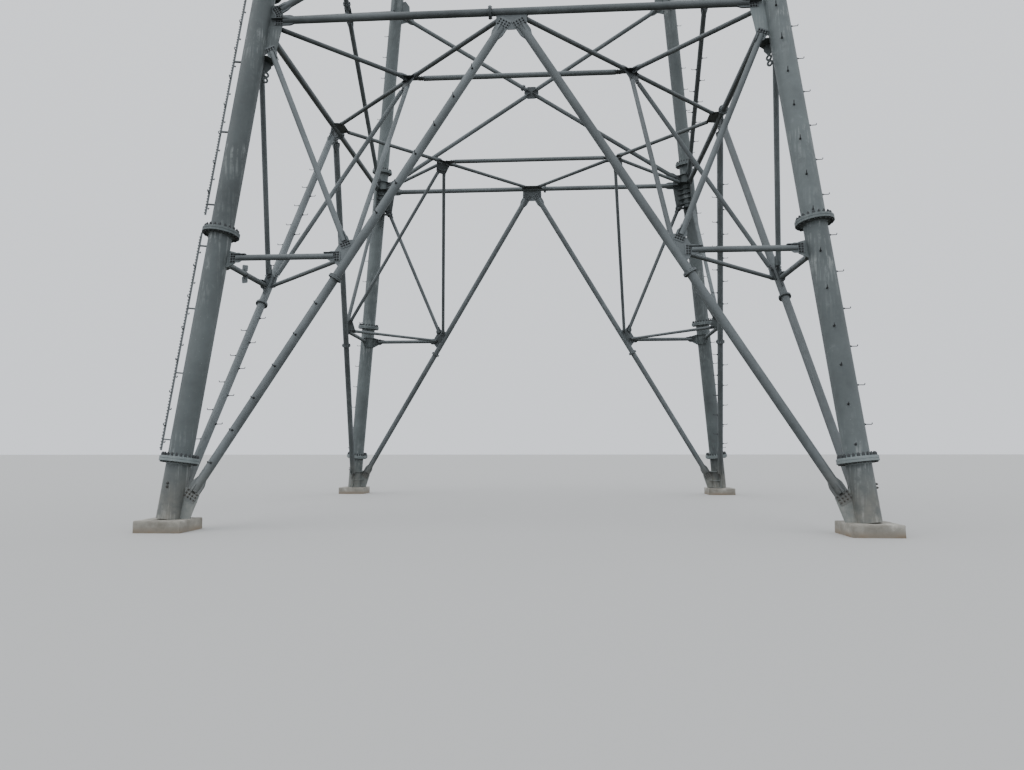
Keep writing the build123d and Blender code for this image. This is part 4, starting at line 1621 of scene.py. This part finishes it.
@dataclass
class CornerFrame:
    """Struts between one leg and its two diagonals, and the plan bracing in front of it.

    Attributes:
        corner: the corner
        finishes: finishes of the tower
        rng: source of small differences
        hub_reaches: how far the hub's lower and upper plates run along its bars
        hub_margin: how much wider than the bars the hub's plates are
        hub_thick: thickness of the upper plate
        hub_stiffener: how far the stiffeners run over the hub
        fin_width: width of the plate that the hip struts meet on
        sign_outline: distances across and up of the corners of the bare plate's halves
        sign_thick: thickness of the bare plate
        clamp: distance of its clamps' bolts from the strut's axis, and their diameter
    """

    corner: Corner
    finishes: Finishes
    rng: random.Random
    hub_reaches: tuple[float, float] = (0.32, 0.22)
    hub_margin: float = 0.07
    hub_thick: float = 0.024
    hub_stiffener: float = 0.18
    fin_width: float = 0.66
    sign_outline: tuple[tuple[float, float], ...] = ((-0.08, 0.07), (0.08, 0.07), (0.09, 0.24), (-0.07, 0.26))
    sign_thick: float = 0.012
    clamp: tuple[float, float] = (0.115, 0.016)

    def __post_init__(self) -> None:
        """Work out the corner's name and working points and start the piece that holds its bolts."""
        self.name = self.corner.name.lower()
        self.hub, self.fin = TOWER.hub_point(self.corner), TOWER.hip_normal(self.corner)
        self.knees = [TOWER.knee_point(self.corner, side) for side in (0, 1)]
        self.bolts = Shape(f"corner_bolts_{self.name}")

    def build(self) -> None:
        """Build the struts and the plan bracing."""
        self.struts()
        self.plan_bars()
        self.bolts.make(self.finishes.fasteners, "brace_steel")

    def struts(self) -> None:
        """Build the seven struts between the leg and its two diagonals."""
        shape = Shape(f"knee_bracing_{self.name}_welded")
        low, high = (TOWER.leg_point(self.corner, level) for level in (TOWER.knee_z, TOWER.diaphragm_z))
        for side, knee in enumerate(self.knees):
            normal = TOWER.face_normal(TOWER.face_of(self.corner, side))
            for tube in (Tube(low, knee, Bar.LOW_STRUT, normal), Tube(high, knee, Bar.HIGH_STRUT, normal),
                         Tube(self.hub, knee, Bar.HIP, self.fin)):
                tube.build(shape, self.bolts, self.rng)
        Tube(*self.knees, Bar.KNEE_TIE, self.fin).build(shape, self.bolts, self.rng)
        if self.corner is Corner.FRONT_LEFT:
            self.sign_plate(shape, low, self.knees[1])
        shape.make(self.finishes.braces, "brace_steel", [f"knee_bracing_{self.name}"])

    def sign_plate(self, shape: Shape, start: Vector, end: Vector) -> None:
        """Add the bare plate that is clamped to the strut beside the climbing rail's leg.

        Args:
            shape: piece that the plate belongs to
            start: working point at the strut's leg end
            end: working point at its other end
        """
        axis = (end - start).normalized()
        side = axis.cross(UP).normalized()
        middle, radius = start.lerp(end, 0.5), Bar.LOW_STRUT.diameter / 2
        for sign in (1, -1):
            corners = [middle + side * across + UP * (rise * sign) for across, rise in self.sign_outline]
            shape.plate(middle, axis, corners, self.sign_thick, clip=0.02, edge=FINE_EDGE)
            self.bolts.bolt(middle + UP * (self.clamp[0] * sign), axis, 0.03, self.clamp[1])
        band = [(-0.03, radius - 0.001), (-0.03, radius + 0.006), (0.03, radius + 0.006),
                (0.03, radius - 0.001)]
        self.bolts.turned(middle, axis, band, 24, loop=True)

    def plan_bars(self) -> None:
        """Build the hub plate of the diaphragm with its three bars."""
        shape = Shape(f"plan_bracing_{self.name}_welded")
        hub, width = self.hub, Bar.HUB_TO_LEG.diameter + self.hub_margin
        long, short = self.hub_reaches
        style = EndStyle(cross=self.hub_stiffener)
        middle: list[Vector] = []
        for far, bar in ((TOWER.leg_point(self.corner, TOWER.diaphragm_z), Bar.HUB_TO_LEG),
                         (TOWER.span_middle(self.corner), Bar.HUB_TO_SPAN),
                         (TOWER.span_middle(self.corner - 1), Bar.HUB_TO_SPAN)):
            Tube(hub, far, bar, UP, (False, True)).build(shape, self.bolts, self.rng)
            shape.plate(hub, UP, tongue(hub, far, 0.0, width, UP) + tongue(hub, far, long, width, UP), GUSSET)
            Joint(hub, far, bar.cuts[0], bar.diameter, UP, style).stiffeners(shape)
            middle += tongue(hub, far, short, width, UP)
        shape.tone = 0.1
        far = TOWER.hub_point(TOWER.tie_partner(self.corner))
        shape.plate(hub, UP, tongue(hub, far, 0.0, width, UP) + Bar.HUB_TIE.lap(hub, far, UP), GUSSET)
        shape.plate(hub, UP, middle, self.hub_thick, clip=0.03)
        corners = tongue(hub, self.knees[0].lerp(self.knees[1], 0.5), 0.0, self.fin_width, self.fin)
        for knee in self.knees:
            corners += Bar.HIP.lap(hub, knee, self.fin)
        shape.tone = 0.0
        shape.plate(hub, self.fin, corners, GUSSET, clip=0.02)
        shape.make(self.finishes.braces, "brace_steel", [f"plan_bracing_{self.name}"])


@dataclass
class CornerBracing:
    """Bracing of the four corners, and the two level ties between the hubs.

    Attributes:
        seed: seed of its small differences
    """

    seed: int = 37

    def build(self, finishes: Finishes) -> None:
        """Build the bracing of each corner and the two ties.

        Args:
            finishes: finishes of the tower
        """
        rng = random.Random(self.seed)
        for corner in Corner:
            CornerFrame(corner, finishes, rng).build()
        for name, pair in (("front", (Corner.FRONT_LEFT, Corner.FRONT_RIGHT)),
                           ("back", (Corner.BACK_LEFT, Corner.BACK_RIGHT))):
            shape, bolts = Shape(f"plan_tie_{name}_welded"), Shape(f"plan_tie_bolts_{name}")
            start, end = (TOWER.hub_point(corner) for corner in pair)
            Tube(start, end, Bar.HUB_TIE, UP).build(shape, bolts, rng)
            shape.make(finishes.braces, "brace_steel", [f"plan_tie_{name}"])
            bolts.make(finishes.fasteners, "brace_steel")


@dataclass
class ClimbingRail:
    """Rail with pegs beside the front left leg.

    Attributes:
        offset: distance of the rail from the leg's axis
        depth: depth of the rail's section
        width: width of the rail's section
        sections: lower and upper ends of its two lengths
        brackets: height of the first bracket above each length's foot, and the distance between two
        bracket_end: distance of a bracket's inner end from the leg's axis, and how far it is lower
        bracket: thickness of a bracket
        peg_pitch: distance between pegs
        peg: length of a peg, its radius and the height of its bent end
        bend: width of a peg's bend
        tooth_pitch: distance between the rail's teeth
        tooth: width of a tooth, half its height and half its depth
        first_tooth: height of the first tooth above each length's foot
    """

    offset: float = 0.5
    depth: float = 0.05
    width: float = 0.016
    sections: tuple[tuple[str, float, float], ...] = (("lower", 1.83, 7.29), ("upper", 7.75, 21.7))
    brackets: tuple[tuple[float, float], ...] = ((0.27, 1.63), (0.29, 2.0))
    bracket_end: tuple[float, float] = (0.24, 0.07)
    bracket: float = 0.03
    peg_pitch: float = 0.4
    peg: tuple[float, float, float] = (0.11, 0.013, 0.045)
    bend: float = 0.014
    tooth_pitch: float = 0.075
    tooth: tuple[float, float, float] = (0.03, 0.014, 0.016)
    first_tooth: float = 0.06

    def build(self, finishes: Finishes) -> None:
        """Build both lengths of the rail.

        Args:
            finishes: finishes of the tower
        """
        corner = Corner.FRONT_LEFT
        axis = TOWER.leg_axis(corner)
        out = -TOWER.square_to_leg(corner, TOWER.along(corner))
        side = axis.cross(out)
        for (name, bottom, top), (first, pitch) in zip(self.sections, self.brackets):
            shape = Shape(f"climbing_rail_{name}_welded", tone=0.6)
            foot = TOWER.leg_point(corner, bottom)
            length = (TOWER.leg_point(corner, top) - foot).length
            base = foot + out * self.offset
            half = out * (self.depth / 2)
            corners = [base + half, base - half, base + half + axis * length, base - half + axis * length]
            shape.plate(base, side, corners, self.width, edge=FINE_EDGE)
            for number in range(int((length - first) // pitch) + 1):
                level = base + axis * (first + number * pitch)
                inner = level - out * (self.offset - self.bracket_end[0]) - axis * self.bracket_end[1]
                reach = side * self.bracket
                corners = [level + reach, level - reach, inner + reach, inner - reach]
                shape.plate(level, axis, corners, self.bracket, edge=FINE_EDGE)
            tooth, rise, tip = self.tooth[0], axis * self.tooth[1], out * self.tooth[2]
            for number in range(int((length - 0.1) / self.tooth_pitch)):
                level = base + half + axis * (self.first_tooth + number * self.tooth_pitch)
                corners = [level + rise * 1.4 - tip, level - rise * 1.4 - tip,
                           level + rise + tip, level - rise + tip]
                shape.plate(level, side, corners, tooth, edge=FINE_EDGE)
            reach, radius, height = self.peg
            for number in range(int(length // self.peg_pitch)):
                way = side * (1 if number % 2 else -1)
                level = base + axis * ((number + 0.5) * self.peg_pitch)
                tip = level + way * reach
                shape.rod([level, tip - way * self.bend, tip + axis * self.bend, tip + axis * height], radius)
            shape.make(finishes.rail, "rail_steel", [f"climbing_rail_{name}"])


@dataclass
class StepBolts:
    """Step bolts that alternate up three legs and some tubes of three faces.

    Attributes:
        pitch: distance between two bolts along a tube
        reach: how far a bolt stands out from the tube
        radius: radius of a bolt
        tip: length of its bent end
        bend: width of its bend
        spans: lower and upper ends of the leg lengths that carry bolts
        legs: the legs that carry bolts, with the angles from +X that they point at in turn, in degrees
        side_spans: first bolt of a side face's diagonal from its foot, last one below the knee, first
            and last one above it from the knee
        arm_spans: ends of the bolts on the right face's crossed tube, from its lower end
        front_spans: the same on the front left diagonal
        sunk: how deep a bolt starts in the tube's wall
        boss: distance from there and radius of each ring of points on its welded boss
        nut: the same for its nut
    """

    pitch: float = 0.45
    reach: float = 0.17
    radius: float = 0.011
    tip: float = 0.04
    bend: float = 0.014
    spans: tuple[tuple[float, float], ...] = ((2.0, 7.1), (7.52, 13.85), (14.6, 21.5))
    legs: tuple[tuple[Corner, tuple[float, float]], ...] = (
        (Corner.FRONT_RIGHT, (-107.0, -5.0)), (Corner.BACK_RIGHT, (5.0, 100.0)),
        (Corner.BACK_LEFT, (175.0, 80.0)))
    side_spans: tuple[float, float, float, float] = (2.6, -1.0, 0.9, 5.8)
    arm_spans: tuple[tuple[float, float], ...] = ((1.3, 5.9),)
    front_spans: tuple[tuple[float, float], ...] = ((1.92, 6.9), (9.12, 13.7))
    sunk: float = 0.004
    boss: tuple[tuple[float, float], ...] = ((0.0, 0.03), (0.016, 0.028), (0.02, 0.024))
    nut: tuple[tuple[float, float], ...] = ((0.02, 0.021), (0.038, 0.021), (0.042, 0.018))

    def build(self, finishes: Finishes) -> None:
        """Build the bolts of the legs, of the side faces' tubes and of the front left diagonal.

        Args:
            finishes: finishes of the tower
        """
        for corner, angles in self.legs:
            shape = Shape(f"step_bolts_{corner.name.lower()}", tone=0.3)
            turns = [math.radians(angle) for angle in angles]
            ways = [Vector((math.cos(turn), math.sin(turn), 0.0)) for turn in turns]
            for (bottom, top), diameter in zip(self.spans, Leg.diameters[1:]):
                for k in range(int((top - bottom) / self.pitch) + 1):
                    centre = TOWER.leg_point(corner, bottom + k * self.pitch)
                    self.bolt(shape, centre, ways[k % 2], diameter / 2)
            shape.make(finishes.fasteners, "leg_steel")
        for face in (Face.RIGHT, Face.LEFT):
            shape = Shape(f"step_bolts_{face.name.lower()}_face", tone=0.3)
            corner = (face + 1) % 4
            start = TOWER.diagonal_foot(corner)
            gap = (TOWER.knee_point(corner, 1) - start).length
            first, below, above, last = self.side_spans
            spans = ((first, gap + below), (gap + above, gap + last))
            self.row(shape, start, TOWER.span_middle(face), spans, face, Bar.DIAGONAL)
            if face is Face.RIGHT:
                start = TOWER.leg_point(corner, TOWER.diaphragm_z)
                end = TOWER.leg_point(face, TOWER.cross_top_z)
                self.row(shape, start, end, self.arm_spans, face, Bar.CROSSED)
            shape.make(finishes.fasteners, "brace_steel")
        shape = Shape("step_bolts_front_diagonal", tone=0.3)
        start, end = TOWER.diagonal_foot(Corner.FRONT_LEFT), TOWER.span_middle(Face.FRONT)
        self.row(shape, start, end, self.front_spans, Face.FRONT, Bar.DIAGONAL)
        shape.make(finishes.fasteners, "brace_steel")

    def row(self, shape: Shape, start: Vector, end: Vector, spans: Sequence[tuple[float, float]],
            face: int, bar: Bar) -> None:
        """Add the bolts along a bracing tube, in turn on its two sides.

        Args:
            shape: piece that they belong to
            start: lower end of the tube's axis
            end: its upper end
            spans: distances from the start between which bolts stand
            face: face that the tube lies in
            bar: kind of tube
        """
        axis, side = (end - start).normalized(), TOWER.outward(face)
        for low, high in spans:
            for k in range(int((high - low) / self.pitch) + 1):
                centre = start + axis * (low + k * self.pitch)
                self.bolt(shape, centre, side * (1 - 2 * (k % 2)), bar.diameter / 2)

    def bolt(self, shape: Shape, centre: Vector, way: Vector, radius: float) -> None:
        """Add one bolt with its boss and nut, its end bent up.

        Args:
            shape: piece that it belongs to
            centre: point on the axis of the tube
            way: direction that the bolt points in
            radius: radius of the tube
        """
        base, tip = centre + way * (radius - self.sunk), centre + way * (radius + self.reach)
        shape.rod([base, tip - way * self.bend, tip + UP * self.bend, tip + UP * self.tip], self.radius, 8)
        shape.turned(base, way, self.boss, 12)
        shape.turned(base, way, self.nut, 6)


@dataclass
class Studio:
    """Camera, floor and light.

    Attributes:
        place: where the camera stands
        yaw: angle of view away from +Y, towards +X
        pitch: angle of view above the horizon
        roll: tilt of the camera
        focal: focal length in picture widths
        sensor: width of the camera's sensor in millimetres
        reach: half the width of the floor
        ground: light that comes up from below
        horizon: colour of the sky near the horizon
        zenith: colour of the sky overhead
        strength: brightness of the sky
        lift: how far below the horizon the sky stays pale, as the sine of the angle
        sun: brightness of the soft sun
        sun_size: angle across the soft sun, in degrees
        sun_turn: angles that the soft sun is turned by, in degrees
    """

    place: Colour = (1.2397, -25.3388, 1.8509)
    yaw: float = -0.06611
    pitch: float = 0.08727
    roll: float = -0.00066
    focal: float = 756.9044 / 1024.0
    sensor: float = 36.0
    reach: float = 400.0
    ground: Colour = (0.085, 0.085, 0.075)
    horizon: Colour = (0.85, 0.885, 0.94)
    zenith: Colour = (0.96, 0.985, 1.02)
    strength: float = 1.2
    lift: float = 0.1
    sun: float = 0.5
    sun_size: float = 50.0
    sun_turn: tuple[float, float, float] = (38.0, 0.0, -62.0)

    def build(self) -> None:
        """Set the camera, floor and light."""
        self.camera()
        self.floor()
        self.light()

    def camera(self) -> None:
        """Make the camera at the photograph's angle."""
        ahead = Vector((math.sin(self.yaw) * math.cos(self.pitch),
                        math.cos(self.yaw) * math.cos(self.pitch), math.sin(self.pitch)))
        level = Vector((math.cos(self.yaw), -math.sin(self.yaw), 0.0))
        rise = level.cross(ahead)
        right = level * math.cos(self.roll) + rise * math.sin(self.roll)
        top = rise * math.cos(self.roll) - level * math.sin(self.roll)
        data = bpy.data.cameras.new("photo_view")
        data.sensor_fit = "HORIZONTAL"
        data.sensor_width = self.sensor
        data.lens = self.sensor * self.focal
        data.clip_start, data.clip_end = 0.1, 1000.0
        camera = bpy.data.objects.new("photo_view", data)
        turn = Matrix((right, top, -ahead)).transposed().to_4x4()
        camera.matrix_world = Matrix.Translation(self.place) @ turn
        bpy.context.scene.collection.objects.link(camera)
        bpy.context.scene.camera = camera

    def floor(self) -> None:
        """Make the plain pale floor. It throws no light on the tower: the sky's lower half does."""
        corners = [(x * self.reach, y * self.reach, 0.0) for x, y in ((-1, -1), (1, -1), (1, 1), (-1, 1))]
        mesh = bpy.data.meshes.new("floor")
        mesh.from_pydata(corners, [], [(0, 1, 2, 3)])
        sheet = NodeSheet("floor_pale")
        sheet.shader.inputs["Base Color"].default_value = (0.55, 0.55, 0.54, 1.0)
        sheet.shader.inputs["Roughness"].default_value = 0.9
        mesh.materials.append(sheet.material)
        floor = bpy.data.objects.new("floor", mesh)
        floor.visible_diffuse = floor.visible_glossy = floor.visible_shadow = False
        bpy.context.scene.collection.objects.link(floor)

    def light(self) -> None:
        """Make the soft overcast light."""
        world = bpy.data.worlds.new("overcast")
        world.use_nodes = True
        tree = world.node_tree
        split = tree.nodes.new("ShaderNodeSeparateXYZ")
        ramp = tree.nodes.new("ShaderNodeValToRGB")
        place = tree.nodes.new("ShaderNodeTexCoord").outputs["Generated"]
        tree.links.new(place, split.inputs[0])
        lift = tree.nodes.new("ShaderNodeMath")
        lift.inputs[1].default_value = self.lift
        tree.links.new(split.outputs[2], lift.inputs[0])
        tree.links.new(lift.outputs[0], ramp.inputs[0])
        tree.links.new(ramp.outputs[0], tree.nodes["Background"].inputs["Color"])
        steps = ((0.0, self.ground), (0.004, self.horizon), (1.0, self.zenith))
        while len(ramp.color_ramp.elements) < len(steps):
            ramp.color_ramp.elements.new(0.5)
        for element, (position, colour) in zip(ramp.color_ramp.elements, steps):
            element.position, element.color = position, (*colour, 1.0)
        tree.nodes["Background"].inputs["Strength"].default_value = self.strength
        bpy.context.scene.world = world
        data = bpy.data.lights.new("soft_sun", "SUN")
        data.energy = self.sun
        data.angle = math.radians(self.sun_size)
        sun = bpy.data.objects.new("soft_sun", data)
        sun.rotation_euler = [math.radians(angle) for angle in self.sun_turn]
        bpy.context.scene.collection.objects.link(sun)


def main() -> None:
    """Build the tower, part by part, and the studio round it."""
    logging.basicConfig(level=logging.INFO, format="%(name)s: %(message)s")
    finishes = Finishes.build()
    for part in (Pedestals(), Legs(), FaceBracing(), CornerBracing(), ClimbingRail(), StepBolts()):
        LOG.info("building %s", type(part).__name__)
        part.build(finishes)
    Studio().build()


if __name__ == "__main__":
    main()
